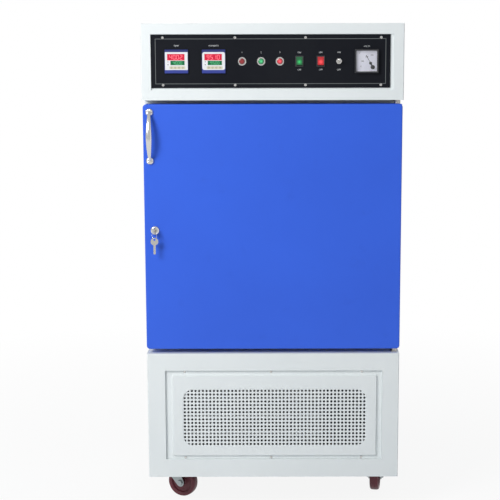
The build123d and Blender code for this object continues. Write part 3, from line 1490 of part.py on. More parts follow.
# Compression gasket round the plug
gasket_thickness = gasket_gap - seat_gap
with BuildPart() as door_gasket:
    gasket_plane = facing_front(door_back_y + gasket_thickness, 0, chamber_z)
    gasket_corner = gasket_width + gasket_inset
    gasket_outside = (chamber_width + 2 * gasket_corner, chamber_height + 2 * gasket_corner)
    gasket_inside = (chamber_width + 2 * gasket_inset, chamber_height + 2 * gasket_inset)
    panel(gasket_plane, *gasket_outside, gasket_thickness, gasket_corner)
    gasket_cut = facing_front(door_back_y + gasket_thickness + beyond, 0, chamber_z)
    panel(gasket_cut, *gasket_inside, gasket_gap + 2 * beyond, gasket_inset, Mode.SUBTRACT)
save("door_gasket", door_gasket)

# Pivot brackets: plates in the gaps above and below the door, each with a washer and a pin
washer_diameter = 18.0
brackets = []
for fixed_z, edge_z, towards in ((control_z, door_top_z, -1), (deck_z, door_z, 1)):
    with BuildPart() as bracket:
        plate_limits = sorted((fixed_z, fixed_z + towards * bracket_thickness))
        bracket_x = (pivot_x - bracket_width / 2, pivot_x + bracket_width / 2)
        block(bracket_x, (pivot_y, shell_front_y - seat_gap), plate_limits)
        start = Plane(origin=(pivot_x, pivot_y, fixed_z), z_dir=(0, 0, towards))
        rod(start, bracket_width, bracket_thickness)
        to_door = abs(edge_z - fixed_z)
        rod(start, washer_diameter, to_door - seat_gap)
        rod(start, pivot_pin_diameter, to_door + pivot_pin_reach)
    brackets.append(bracket)
save("hinge_brackets", *brackets)

# Bow handle: two domed feet with crossed grooves, and a bar lofted along an arc between them
foot_height = 8.0
foot_round = 5.0
foot_groove_width = 3.0
foot_groove_depth = 2.5
bow_start = 5.0
bow_proud = handle_reach - handle_bar_thickness / 2
bow_rise = bow_proud - bow_start
bow_radius = ((handle_centres / 2) ** 2 + bow_rise**2) / (2 * bow_rise)
bow_half_angle = degrees(asin(handle_centres / 2 / bow_radius))
handle_mid_z = handle_top_z - handle_centres / 2
bow_stations = (-1.0, -0.75, -0.4, 0.0, 0.4, 0.75, 1.0)
with BuildPart() as door_handle:
    for foot_z in (handle_top_z, handle_top_z - handle_centres):
        foot_plane = facing_front(front_y, handle_x, foot_z)
        rod(foot_plane, handle_foot_diameter, foot_height)
    fillet(door_handle.faces().filter_by(Axis.Y).group_by(Axis.Y)[0].edges(), foot_round)
    for foot_z in (handle_top_z, handle_top_z - handle_centres):
        groove_plane = facing_front(front_y - foot_height + foot_groove_depth, handle_x, foot_z)
        panel(groove_plane, foot_groove_width, handle_foot_diameter, beyond, mode=Mode.SUBTRACT)
        panel(groove_plane, handle_foot_diameter, foot_groove_width, beyond, mode=Mode.SUBTRACT)
    for station in bow_stations:
        turn = radians(station * bow_half_angle)
        out = front_y - bow_proud + bow_radius * (1 - cos(turn))
        centre = (handle_x, out, handle_mid_z + bow_radius * sin(turn))
        along = (0, sin(turn), cos(turn))
        narrowing = (handle_bar_width - handle_bar_end_width) * abs(station) ** 1.5
        bar_width = handle_bar_width - narrowing
        with BuildSketch(Plane(origin=centre, x_dir=(1, 0, 0), z_dir=along)):
            Ellipse(bar_width / 2, handle_bar_thickness / 2)
    loft()
save("door_handle", door_handle)

# Cam lock: barrel with a domed head and a nut, and the plug that carries the cam
lock_end_y = door_back_y + 3.0
lock_nut_diameter = 27.0
cam_y = lock_end_y + 1.5
plug_end_y = cam_y + cam_thickness
plug_front_y = front_y - lock_dome_height + 0.5
keyway_gap = 0.1
keyway_depth = 25.0
with BuildPart() as lock_barrel:
    rod(facing_front(front_y, lock_x, lock_z), lock_dome_diameter, lock_dome_height)
    fillet(lock_barrel.edges().filter_by(GeomType.CIRCLE).sort_by(Axis.Y)[0], lock_dome_height - 1.5)
    rod(facing_front(lock_end_y, lock_x, lock_z), lock_barrel_diameter, lock_end_y - front_y)
    with BuildSketch(facing_front(lock_end_y, lock_x, lock_z)) as lock_nut:
        RegularPolygon(lock_nut_diameter / 2, 6)
    extrude(lock_nut.sketch, amount=lock_end_y - door_back_y)
    plug_bore = lock_plug_diameter + 2 * running_clearance
    bore_from = facing_front(lock_end_y + beyond, lock_x, lock_z)
    rod(bore_from, plug_bore, door_thickness + 4 * beyond, Mode.SUBTRACT)
save("lock_barrel", lock_barrel)

with BuildPart() as lock_cam:
    rod(facing_front(plug_end_y, lock_x, lock_z), lock_plug_diameter, plug_end_y - plug_front_y)
    cam_x = (lock_x - cam_width / 2, lock_x + cam_width / 2)
    block(cam_x, (cam_y, plug_end_y), (lock_z - cam_length, lock_z))
    rod(facing_front(plug_end_y, lock_x, lock_z), cam_width, cam_thickness)
    keyway_x = key_thickness / 2 + keyway_gap
    keyway_z = key_blade_width / 2 + keyway_gap
    block(
        (lock_x - keyway_x, lock_x + keyway_x),
        (plug_front_y - beyond, plug_front_y + keyway_depth),
        (lock_z - keyway_z, lock_z + keyway_z),
        Mode.SUBTRACT,
    )
save("lock_cam", lock_cam)


def key(bow_plane, blade_length):
    """A flat key: round bow with its hole towards local -X, and a straight blade towards +X."""
    with BuildPart() as cut_key:
        with BuildSketch(bow_plane) as outline:
            Circle(key_bow_diameter / 2)
            blade = key_bow_diameter / 2 + blade_length
            with Locations((blade / 2, 0)):
                Rectangle(blade, key_blade_width)
            with Locations((-key_hole_offset, 0)):
                Circle(key_hole_diameter / 2, mode=Mode.SUBTRACT)
        extrude(outline.sketch, amount=key_thickness / 2, both=True)
    return cut_key


# Key in the lock, the ring through its bow, and the spare key that hangs from the ring
key_hole_offset = 6.0
key_bow_y = front_y - 21.0
key_insert = 22.0
key_blade_length = plug_front_y + key_insert - key_bow_y - key_bow_diameter / 2
key_plane = Plane(origin=(lock_x, key_bow_y, lock_z), x_dir=(0, 1, 0), z_dir=(1, 0, 0))
save("door_key", key(key_plane, key_blade_length))

wire_radius = key_ring_wire / 2
hole_y = key_bow_y - key_hole_offset
ring_radius = key_ring_diameter / 2 - wire_radius
ring_slack = 0.4
ring_top_z = lock_z - key_hole_diameter / 2 + wire_radius + ring_slack
ring_z = ring_top_z - ring_radius
ring_tangent = (cos(radians(key_ring_turn)), -sin(radians(key_ring_turn)), 0)
ring_normal = (sin(radians(key_ring_turn)), cos(radians(key_ring_turn)), 0)
with BuildPart() as key_ring:
    with BuildSketch(Plane(origin=(lock_x, hole_y, ring_top_z), x_dir=(0, 0, 1), z_dir=ring_tangent)):
        Circle(wire_radius)
    revolve(axis=Axis((lock_x, hole_y, ring_z), ring_normal))
save("key_ring", key_ring)

spare_hole_z = ring_z - ring_radius + wire_radius + ring_slack - key_hole_diameter / 2
spare_normal = (cos(radians(spare_key_turn)), -sin(radians(spare_key_turn)), 0)
spare_plane = Plane(
    origin=(lock_x, hole_y, spare_hole_z - key_hole_offset), x_dir=(0, 0, -1), z_dir=spare_normal
)
spare_blade_length = 28.0
save("spare_key", key(spare_plane, spare_blade_length))
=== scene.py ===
import json
import math

import bmesh
import bpy
from mathutils import Matrix, Vector


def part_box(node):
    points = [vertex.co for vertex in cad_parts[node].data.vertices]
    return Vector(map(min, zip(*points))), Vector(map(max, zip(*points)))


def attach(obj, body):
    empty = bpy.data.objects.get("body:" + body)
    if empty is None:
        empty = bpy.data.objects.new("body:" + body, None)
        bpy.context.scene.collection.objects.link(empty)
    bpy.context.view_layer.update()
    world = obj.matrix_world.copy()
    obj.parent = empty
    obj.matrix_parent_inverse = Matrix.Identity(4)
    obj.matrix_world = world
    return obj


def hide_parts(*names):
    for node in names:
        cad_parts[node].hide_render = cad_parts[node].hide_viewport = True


# Dresses the temperature and humidity chamber: finishes for every piece of the frame, and finer
# pieces where the frame's own are too plain. Metres; the front faces -Y and +Z is up.
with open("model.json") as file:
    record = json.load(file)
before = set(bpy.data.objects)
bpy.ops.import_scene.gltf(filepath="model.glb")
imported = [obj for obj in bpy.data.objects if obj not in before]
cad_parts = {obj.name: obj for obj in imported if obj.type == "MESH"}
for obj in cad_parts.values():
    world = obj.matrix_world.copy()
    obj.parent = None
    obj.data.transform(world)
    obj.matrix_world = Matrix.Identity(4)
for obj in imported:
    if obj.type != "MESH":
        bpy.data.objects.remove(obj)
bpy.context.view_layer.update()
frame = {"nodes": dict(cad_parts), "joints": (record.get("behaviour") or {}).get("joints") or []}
nodes = frame["nodes"]
mm = 0.001

# Places on the front that several pieces share: the instruments' line, two faces and the middles in x
axis_z = 1.44975
plate_face, door_face = -0.383, -0.385
temperature_x, humidity_x, voltmeter_x = -0.294, -0.180, 0.288
lamp_x = (-0.0935, -0.0350, 0.0225)
green_x, red_x, toggle_x = 0.0820, 0.1475, 0.2035


# Shader maths
class Wire:
    """A node's output that takes part in sums, so that a finish's maths reads as plain expressions."""

    def __init__(self, finish, socket):
        self.finish = finish
        self.socket = socket

    def maths(self, operation, first, second=0.0, clamp=False):
        settings = {"operation": operation, "use_clamp": clamp}
        return self.finish.node("ShaderNodeMath", settings, {0: first, 1: second})

    def __add__(self, other):
        return self.maths("ADD", self, other)

    def __sub__(self, other):
        return self.maths("SUBTRACT", self, other)

    def __mul__(self, other):
        return self.maths("MULTIPLY", self, other)

    def __rsub__(self, other):
        return self.maths("SUBTRACT", other, self)

    def __gt__(self, other):
        return self.maths("GREATER_THAN", self, other)

    def __lt__(self, other):
        return self.maths("LESS_THAN", self, other)

    def __abs__(self):
        return self.maths("ABSOLUTE", self)

    __radd__ = __add__
    __rmul__ = __mul__

    def held(self):
        return self.maths("ADD", self, 0.0, clamp=True)

    def root(self):
        return self.maths("SQRT", self)

    def larger(self, other):
        return self.maths("MAXIMUM", self, other)

    def ramp(self, low, high):
        """0 below low, 1 above high, straight between them."""
        return ((self - low) * (1.0 / (high - low))).held()


def length(across, upright):
    return (across * across + upright * upright).root()


class Finish:
    """One material: its principled shader and a short way to add nodes to it."""

    def __init__(self, name, colour, roughness, metallic=0.0, **fixed):
        self.material = bpy.data.materials.new(name)
        self.material.use_nodes = True
        self.tree = self.material.node_tree
        self.tree.nodes.clear()
        self.output = self.tree.nodes.new("ShaderNodeOutputMaterial")
        self.shader = self.tree.nodes.new("ShaderNodeBsdfPrincipled")
        self.tree.links.new(self.shader.outputs[0], self.output.inputs["Surface"])
        self.feed("Base Color", (*colour, 1.0))
        self.feed("Roughness", roughness)
        self.feed("Metallic", metallic)
        for socket, value in fixed.items():
            self.feed(socket.replace("_", " "), value)

    def node(self, kind, settings=None, values=None, out=0):
        made = self.tree.nodes.new(kind)
        for key, value in (settings or {}).items():
            setattr(made, key, value)
        for key, value in (values or {}).items():
            if isinstance(value, Wire):
                self.tree.links.new(value.socket, made.inputs[key])
            else:
                made.inputs[key].default_value = value
        return Wire(self, made.outputs[out])

    def feed(self, socket, value):
        if isinstance(value, Wire):
            self.tree.links.new(value.socket, self.shader.inputs[socket])
        else:
            self.shader.inputs[socket].default_value = value

    def place(self, stretch=(1, 1, 1)):
        point = self.node("ShaderNodeTexCoord", out="Object")
        if stretch == (1, 1, 1):
            return point
        return self.node("ShaderNodeMapping", None, {"Vector": point, "Scale": stretch})

    def axes(self):
        split = self.node("ShaderNodeSeparateXYZ", None, {0: self.place()})
        outs = split.socket.node.outputs
        return tuple(Wire(self, outs[i]) for i in range(3))

    def grain(self, scale, detail=4.0, rough=0.55, stretch=(1, 1, 1)):
        values = {"Vector": self.place(stretch), "Scale": scale, "Detail": detail, "Roughness": rough}
        return self.node("ShaderNodeTexNoise", None, values)

    def inside(self, x, z, width, height, corner=0.0):
        """1 inside a rectangle with round corners about the middle of x and z, 0 outside."""
        soft_edge = 0.12 * mm
        across = (abs(x) - (width / 2 - corner)).larger(0.0)
        upright = (abs(z) - (height / 2 - corner)).larger(0.0)
        return 1.0 - (length(across, upright) - corner).ramp(0.0, soft_edge)

    def mix(self, share, first, second):
        values = {0: share, 6: (*first, 1.0) if isinstance(first, tuple) else first}
        values[7] = (*second, 1.0) if isinstance(second, tuple) else second
        return self.node("ShaderNodeMix", {"data_type": "RGBA"}, values, out=2)

    def bump(self, height, strength, distance):
        values = {"Height": height, "Strength": strength, "Distance": distance}
        self.feed("Normal", self.node("ShaderNodeBump", None, values))


def powder_coat(name, colour, worn, roughness=0.42, gloss=0.5):
    """Baked powder coat: fine orange peel, slow drift in shade and a few rubbed patches."""
    coat = Finish(name, colour, roughness, Specular_IOR_Level=gloss)
    drift = coat.grain(3.0, 3.0)
    rub = coat.grain(14.0, 6.0, 0.7).ramp(0.60, 0.78)
    base = coat.mix((drift - 0.35) * 0.9, colour, worn)
    coat.feed("Base Color", coat.mix(rub * 0.35, base, worn))
    coat.feed("Roughness", roughness + (coat.grain(40.0) - 0.5) * 0.18 + rub * 0.10)
    coat.bump(coat.grain(900.0, 2.0), 0.16, 0.0004)
    return coat


def metal(name, colour, roughness, stretch=(1, 1, 1), scale=300.0, depth=0.06, spread=0.16):
    """Bare or plated metal, its grain drawn out along the axis that is stretched least."""
    plate = Finish(name, colour, roughness, 1.0)
    streak = plate.grain(scale, 4.0, 0.6, stretch)
    smear = plate.grain(9.0, 4.0)
    dull = tuple(c * 0.82 for c in colour)
    plate.feed("Base Color", plate.mix((smear - 0.3) * 0.8, colour, dull))
    plate.feed("Roughness", roughness + (streak - 0.5) * spread + (smear - 0.5) * 0.10)
    plate.bump(streak, depth, 0.0003)
    return plate


def moulding(name, colour, roughness, depth=0.12):
    """Moulded plastic or rubber with a fine spark-eroded texture."""
    plastic = Finish(name, colour, roughness)
    cloud = plastic.grain(30.0, 4.0)
    pale = tuple(min(1.0, c * 1.25 + 0.01) for c in colour)
    plastic.feed("Base Color", plastic.mix((cloud - 0.4) * 0.8, colour, pale))
    plastic.feed("Roughness", roughness + (cloud - 0.5) * 0.2)
    plastic.bump(plastic.grain(1400.0, 2.0), depth, 0.0002)
    return plastic


white_coat = powder_coat("white powder coat", (0.84, 0.88, 0.88), (0.75, 0.80, 0.81), gloss=0.35)
blue_coat = powder_coat("blue powder coat", (0.042, 0.138, 0.780), (0.036, 0.112, 0.660), 0.38, gloss=0.25)
stainless = metal("stainless sheet", (0.60, 0.61, 0.62), 0.30, (1, 1, 30), 60.0)
stainless_bar = metal("stainless bar", (0.62, 0.63, 0.64), 0.24)
zinc = metal("zinc plated steel", (0.52, 0.49, 0.44), 0.42, depth=0.1)
nickel = metal("polished nickel", (0.70, 0.69, 0.67), 0.17, spread=0.12)
key_steel = metal("key nickel", (0.58, 0.57, 0.54), 0.26)
copper = metal("bare copper tube", (0.60, 0.27, 0.16), 0.30)
aluminium = metal("fin aluminium", (0.68, 0.69, 0.70), 0.34)
grey_primer = powder_coat("grey primer", (0.16, 0.18, 0.19), (0.22, 0.24, 0.25), 0.6)
motor_enamel = powder_coat("motor enamel", (0.14, 0.16, 0.17), (0.20, 0.21, 0.22), 0.45)
black_enamel = powder_coat("black enamel", (0.016, 0.016, 0.018), (0.03, 0.03, 0.032), 0.35)
castor_steel = metal("castor zinc", (0.36, 0.40, 0.41), 0.46, depth=0.12)
polyurethane = moulding("castor polyurethane", (0.150, 0.022, 0.036), 0.42)
silicone = moulding("grey silicone", (0.10, 0.10, 0.105), 0.62)
nylon = moulding("black nylon", (0.020, 0.020, 0.022), 0.48)
bezel_plastic = moulding("instrument moulding", (0.025, 0.026, 0.030), 0.40)
foam = moulding("rigid foam", (0.66, 0.58, 0.36), 0.85, 0.6)
needle_black = moulding("needle black", (0.012, 0.012, 0.013), 0.45)


def plate_finish():
    """Black anodised plate: fine drawn grain and an engraved white-filled border line."""
    black = Finish("black anodised plate", (0.011, 0.012, 0.016), 0.40, Specular_IOR_Level=0.06)
    x, y, z = black.axes()
    middle_x, border_width, border_height = -0.0060, 0.7050, 0.1360
    beyond_x = abs(x - middle_x) - border_width / 2
    beyond_z = abs(z - axis_z) - border_height / 2
    line = 1.0 - abs(beyond_x.larger(beyond_z)).ramp(0.0005, 0.0011)
    smear = black.grain(5.0, 4.0)
    shade = black.mix((smear - 0.3) * 0.8, (0.009, 0.010, 0.014), (0.020, 0.022, 0.026))
    black.feed("Base Color", black.mix(line * 0.75, shade, (0.22, 0.24, 0.24)))
    black.feed("Roughness", 0.40 + (smear - 0.5) * 0.25 + line * 0.2)
    black.bump(black.grain(80.0, 3.0, 0.6, (1, 1, 40)) - line * 1.5, 0.08, 0.0003)
    return black


def lit_key(name, colour, glow, lamp_at, spread):
    """Coloured key, brighter towards the lamp that sits behind it, a little below its middle."""
    lamp_drop = 0.002
    key = Finish(name, colour, 0.18, 0.0, Coat_Weight=0.6)
    x, y, z = key.axes()
    fade = 1.0 - length(x - lamp_at, z - (axis_z - lamp_drop)).ramp(0.0, spread)
    light = fade * fade
    hot = tuple((c + g) / 2 for c, g in zip(colour, glow))
    key.feed("Base Color", key.mix(light, colour, hot))
    key.feed("Emission Color", key.mix(light, (0.0, 0.0, 0.0), glow))
    key.feed("Emission Strength", 0.8)
    key.bump(key.grain(500.0, 2.0), 0.05, 0.0002)
    return key


black_plate = plate_finish()


def lamp_lenses():
    """One finish for the three lenses, its colour chosen by place: unlit red with a dim painted glow at its
    middle, green, lit red.
    """
    lens = Finish("lamp lenses", (0.30, 0.012, 0.020), 0.16, 0.0, Coat_Weight=0.6)
    x, y, z = lens.axes()
    second = x > (lamp_x[0] + lamp_x[1]) / 2
    third = x > (lamp_x[1] + lamp_x[2]) / 2
    shade = lens.mix(second, (0.20, 0.010, 0.014), (0.006, 0.20, 0.06))
    shade = lens.mix(third, shade, (0.45, 0.012, 0.022))
    # The unlit first lens also gets a dim red glow, a painted highlight towards its middle; the other two
    # glow as lit lamps
    glow = lens.mix(second, (0.22, 0.012, 0.014), (0.08, 0.62, 0.24))
    glow = lens.mix(third, glow, (0.95, 0.10, 0.14))
    fade = 1.0
    for centre_x in lamp_x:
        fade = fade * length(x - centre_x, z - axis_z).ramp(0.0, 0.010)
    light = (1.0 - fade) * (1.0 - fade)
    facets = lens.grain(700.0, 1.0)
    lens.feed("Base Color", lens.mix(light * 0.5, shade, glow))
    lens.feed("Emission Color", lens.mix(light, (0.0, 0.0, 0.0), glow))
    lens.feed("Emission Strength", 0.8)
    lens.feed("Roughness", 0.14 + facets * 0.08)
    lens.bump(facets, 0.08, 0.0003)
    return lens


lens_colours = lamp_lenses()
rocker_green = lit_key("green rocker", (0.002, 0.13, 0.035), (0.02, 0.60, 0.13), green_x, 0.010)
rocker_red = lit_key("red rocker", (0.52, 0.006, 0.012), (0.95, 0.07, 0.08), red_x, 0.012)
clear = Finish("clear window", (0.97, 0.98, 1.0), 0.04, 0.0, Transmission_Weight=1.0, IOR=1.46)
clear.feed("Roughness", 0.03 + clear.grain(60.0) * 0.03)

worn_by = {
    white_coat: ("machine_casing", "vent_panel", "vent_grille", "back_panel", "cabinet_shell", "control_box"),
    blue_coat: ("door_skin",),
    black_plate: ("instrument_plate",),
    stainless: ("chamber_liner", "air_baffle", "shelf_runners", "door_inner_pan"),
    stainless_bar: ("wire_shelves", "air_heater", "sensor_probes", "steam_boiler", "boiler_pipes"),
    zinc: ("hinge_brackets", "circulation_impeller", "condenser_shroud", "lock_cam"),
    nickel: ("door_handle", "lock_barrel", "lamp_bezels", "toggle_bush", "toggle_lever", "panel_screws"),
    key_steel: ("door_key", "key_ring", "spare_key"),
    copper: ("refrigerant_pipes",),
    aluminium: ("condenser_coil", "evaporator_coil"),
    grey_primer: ("base_frame",),
    motor_enamel: ("circulation_motor", "condenser_fan_motor"),
    black_enamel: ("compressor",),
    castor_steel: ("castor_plates",) + tuple(n for n in nodes if n.startswith("castor_fork")),
    polyurethane: tuple(n for n in nodes if n.startswith("castor_wheel")),
    silicone: ("door_gasket",),
    nylon: ("mains_gland", "condenser_fan_blade"),
    bezel_plastic: ("rocker_frames", "voltmeter_case"),
    foam: ("cabinet_insulation", "door_insulation"),
    needle_black: ("voltmeter_needle",),
    lens_colours: ("lamp_lenses",),
    rocker_green: ("rocker_green",),
    rocker_red: ("rocker_red",),
    clear: ("voltmeter_window",),
}


def wear(mesh, finish):
    """Gives a mesh one finish in place of those that it had."""
    mesh.materials.clear()
    mesh.materials.append(finish.material)


for finish, names in worn_by.items():
    for name in names:
        wear(nodes[name].data, finish)


def piece(name, mesh, finish, body, slot, *stands_for):
    """A finished mesh as an object of the cabinet, riding on its body."""
    made = bpy.data.objects.new(name, mesh)
    bpy.context.scene.collection.objects.link(made)
    wear(mesh, finish)
    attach(made, body)
    if stands_for:
        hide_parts(*stands_for)


def mesh_of(name, work, smooth=None):
    """A bmesh as a mesh: doubles merged, faces turned out and in one slot, smooth below an angle."""
    bmesh.ops.remove_doubles(work, verts=work.verts, dist=1e-6)
    bmesh.ops.recalc_face_normals(work, faces=work.faces)
    for face in work.faces:
        face.material_index = 0
    if smooth is not None:
        for face in work.faces:
            face.smooth = True
        for edge in work.edges:
            sharp = len(edge.link_faces) == 2 and edge.calc_face_angle(0.0) > math.radians(smooth)
            edge.smooth = not sharp
    mesh = bpy.data.meshes.new(name)
    work.to_mesh(mesh)
    work.free()
    return mesh


def round_corners(width, height, radius, steps=4):
    """Points of a rectangle with round corners, anticlockwise as seen from the front."""
    points = []
    for quarter, (sx, sz) in enumerate(((1, 1), (-1, 1), (-1, -1), (1, -1))):
        for step in range(steps + 1):
            turn = math.radians(90 * quarter + 90.0 * step / steps)
            cx, cz = sx * (width / 2 - radius), sz * (height / 2 - radius)
            points.append((cx + radius * math.cos(turn), cz + radius * math.sin(turn)))
    return points


def slab(work, outline, centre, back, front):
    """A flat piece on the panel: an outline in x and z between two depths."""
    x0, z0 = centre
    rear = [work.verts.new((x0 + x, back, z0 + z)) for x, z in outline]
    fore = [work.verts.new((x0 + x, front, z0 + z)) for x, z in outline]
    work.faces.new(fore)
    work.faces.new(rear[::-1])
    for i in range(len(outline)):
        j = (i + 1) % len(outline)
        work.faces.new((fore[j], fore[i], rear[i], rear[j]))


def band(work, first, second):
    """Faces between two closed rings of as many points."""
    for here in range(len(first)):
        after = (here + 1) % len(first)
        work.faces.new((first[here], first[after], second[after], second[here]))


class Recipe:
    """A Geometry Nodes tree whose sizes are named inputs, run once and kept as a plain mesh."""

    def __init__(self, name, **sizes):
        self.tree = bpy.data.node_groups.new(name, "GeometryNodeTree")
        self.tree.interface.new_socket("Geometry", in_out="OUTPUT", socket_type="NodeSocketGeometry")
        self.sizes = {}
        for label, value in sizes.items():
            kind = "NodeSocketInt" if isinstance(value, int) else "NodeSocketFloat"
            socket = self.tree.interface.new_socket(label, in_out="INPUT", socket_type=kind)
            socket.default_value = value
            self.sizes[socket.identifier] = value
        self.given = self.tree.nodes.new("NodeGroupInput")
        self.result = self.tree.nodes.new("NodeGroupOutput")

    def node(self, kind, settings=None, values=None):
        made = self.tree.nodes.new(kind)
        for key, value in (settings or {}).items():
            setattr(made, key, value)
        for key, value in (values or {}).items():
            for one in value if isinstance(value, list) else [value]:
                if isinstance(one, bpy.types.NodeSocket):
                    self.tree.links.new(one, made.inputs[key])
                else:
                    made.inputs[key].default_value = one
        return made.outputs[0]

    def size(self, label):
        return self.given.outputs[label]

    def maths(self, operation, first, second):
        return self.node("ShaderNodeMath", {"operation": operation}, {0: first, 1: second})

    def plus(self, first, second):
        return self.maths("ADD", first, second)

    def less(self, first, second):
        return self.maths("SUBTRACT", first, second)

    def times(self, first, second):
        return self.maths("MULTIPLY", first, second)

    def over(self, first, second):
        return self.maths("DIVIDE", first, second)

    def along(self, x=0.0, y=0.0, z=0.0):
        return self.node("ShaderNodeCombineXYZ", None, {0: x, 1: y, 2: z})

    def joined(self, *shapes):
        return self.node("GeometryNodeJoinGeometry", None, {0: list(shapes)})

    def placed(self, shape, offset=(0, 0, 0), turn=(0, 0, 0)):
        return self.node("GeometryNodeTransform", None, {0: shape, "Translation": offset, "Rotation": turn})

    def copies(self, points, shape, **values):
        given = {"Points": points, "Instance": shape, **values}
        return self.node("GeometryNodeInstanceOnPoints", None, given)

    def mesh(self, geometry, finish):
        """Ends the tree, evaluates it once and returns the plain mesh."""
        real = self.node("GeometryNodeRealizeInstances", None, {0: geometry})
        coating = {"Geometry": real, "Material": finish.material}
        coated = self.node("GeometryNodeSetMaterial", None, coating)
        self.tree.links.new(coated, self.result.inputs[0])
        bench = bpy.data.objects.new("bench", bpy.data.meshes.new("bench"))
        bpy.context.scene.collection.objects.link(bench)
        made = bench.modifiers.new("recipe", "NODES")
        made.node_group = self.tree
        for identifier, value in self.sizes.items():
            made[identifier] = value
        bpy.context.view_layer.update()
        seen = bench.evaluated_get(bpy.context.evaluated_depsgraph_get())
        mesh = bpy.data.meshes.new_from_object(seen)
        bench.modifiers.remove(made)
        bpy.data.objects.remove(bench)
        return mesh


# Perforated grille behind the round-cornered window
def perforated_sheet():
    recipe = Recipe("perforated sheet", Columns=52, Rows=18, Pitch=11.7 * mm, Hole=7.6 * mm, Sheet=1.0 * mm)
    pitch, sheet = recipe.size("Pitch"), recipe.size("Sheet")
    cell_size = {"Width": pitch, "Height": pitch}
    cell = recipe.node("GeometryNodeCurvePrimitiveQuadrilateral", None, cell_size)
    hole_size = {"Resolution": 12, "Radius": recipe.over(recipe.size("Hole"), 2.0)}
    hole = recipe.node("GeometryNodeCurvePrimitiveCircle", None, hole_size)
    face = recipe.node("GeometryNodeFillCurve", None, {0: recipe.joined(cell, hole)})
    back = recipe.placed(face, recipe.along(z=recipe.times(sheet, -1.0)))
    rim = recipe.node("GeometryNodeCurveToMesh", None, {0: hole})
    downwards = {0: rim, "Offset": recipe.along(z=-1.0), "Offset Scale": sheet}
    wall = recipe.node("GeometryNodeExtrudeMesh", {"mode": "EDGES"}, downwards)
    one = recipe.joined(face, back, wall)
    columns, rows = recipe.size("Columns"), recipe.size("Rows")
    spread = {
        "Size X": recipe.times(pitch, recipe.less(columns, 1.0)),
        "Size Y": recipe.times(pitch, recipe.less(rows, 1.0)),
        "Vertices X": columns,
        "Vertices Y": rows,
    }
    laid = recipe.copies(recipe.node("GeometryNodeMeshGrid", None, spread), one)
    low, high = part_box("vent_grille")
    middle = (low + high) / 2
    work = bmesh.new()
    work.from_mesh(recipe.mesh(recipe.placed(laid, turn=(math.pi / 2, 0, 0)), white_coat))
    bmesh.ops.translate(work, verts=work.verts, vec=(middle.x, low.y, middle.z))
    bmesh.ops.remove_doubles(work, verts=work.verts, dist=1e-6)
    outer_edges = [edge for edge in work.edges if len(edge.link_faces) == 1]
    bmesh.ops.bridge_loops(work, edges=outer_edges)
    sheet_mesh = mesh_of("perforated_grille", work)
    piece("perforated_grille", sheet_mesh, white_coat, "cabinet", "white_paint", "vent_grille")


perforated_sheet()


# Pan-head screws with a cross recess, one at each screw of the frame, each turned its own way
def panel_screws():
    recipe = Recipe("pan head screw", Head=8.0 * mm, Rise=2.4 * mm, Slot=1.1 * mm, Reach=4.6 * mm)
    head, rise = recipe.size("Head"), recipe.size("Rise")
    rim_size = {"Vertices": 24, "Radius": recipe.over(head, 2.0), "Depth": recipe.times(rise, 0.5)}
    rim = recipe.node("GeometryNodeMeshCylinder", None, rim_size)
    crown_size = {
        "Vertices": 24,
        "Side Segments": 3,
        "Radius Bottom": recipe.over(head, 2.0),
        "Radius Top": recipe.times(head, 0.34),
        "Depth": recipe.times(rise, 0.5),
    }
    crown = recipe.node("GeometryNodeMeshCone", None, crown_size)
    crown = recipe.placed(crown, recipe.along(z=recipe.times(rise, 0.25)))
    solid = recipe.node("GeometryNodeMeshBoolean", {"operation": "UNION"}, {"Mesh 2": [rim, crown]})
    slot, reach = recipe.size("Slot"), recipe.size("Reach")
    cuts = []
    for first, second in ((slot, reach), (reach, slot)):
        size = recipe.along(first, second, recipe.times(rise, 0.9))
        bar = recipe.node("GeometryNodeMeshCube", None, {"Size": size})
        cuts.append(recipe.placed(bar, recipe.along(z=recipe.times(rise, 0.75))))
    recess = {"Mesh 1": solid, "Mesh 2": cuts}
    cut = recipe.node("GeometryNodeMeshBoolean", {"operation": "DIFFERENCE"}, recess)
    mesh = recipe.mesh(cut, nickel)
    vent_face, vent_z, sunk = -0.3765, 0.3305, 0.6 * mm
    plate_rise, vent_rise = 0.07175, 0.1415
    spots = []
    for up in (1, -1):
        spots += [(x, plate_face, axis_z + up * plate_rise) for x in (-0.336, -0.115, 0.101, 0.332)]
    for up in (1, -1):
        spots += [(x, vent_face, vent_z + up * vent_rise) for x in (-0.282, -0.007, 0.282)]
    work = bmesh.new()
    for number, (x, y, z) in enumerate(spots):
        seat = Matrix.Translation((x, y - sunk, z)) @ Matrix.Rotation(math.pi / 2, 4, "X")
        copy = mesh.copy()
        copy.transform(seat @ Matrix.Rotation(0.7 + 1.9 * number, 4, "Z"))
        work.from_mesh(copy)
    heads = mesh_of("cross_head_screws", work, 40)
    piece("cross_head_screws", heads, nickel, "cabinet", "chrome", "panel_screws")


panel_screws()


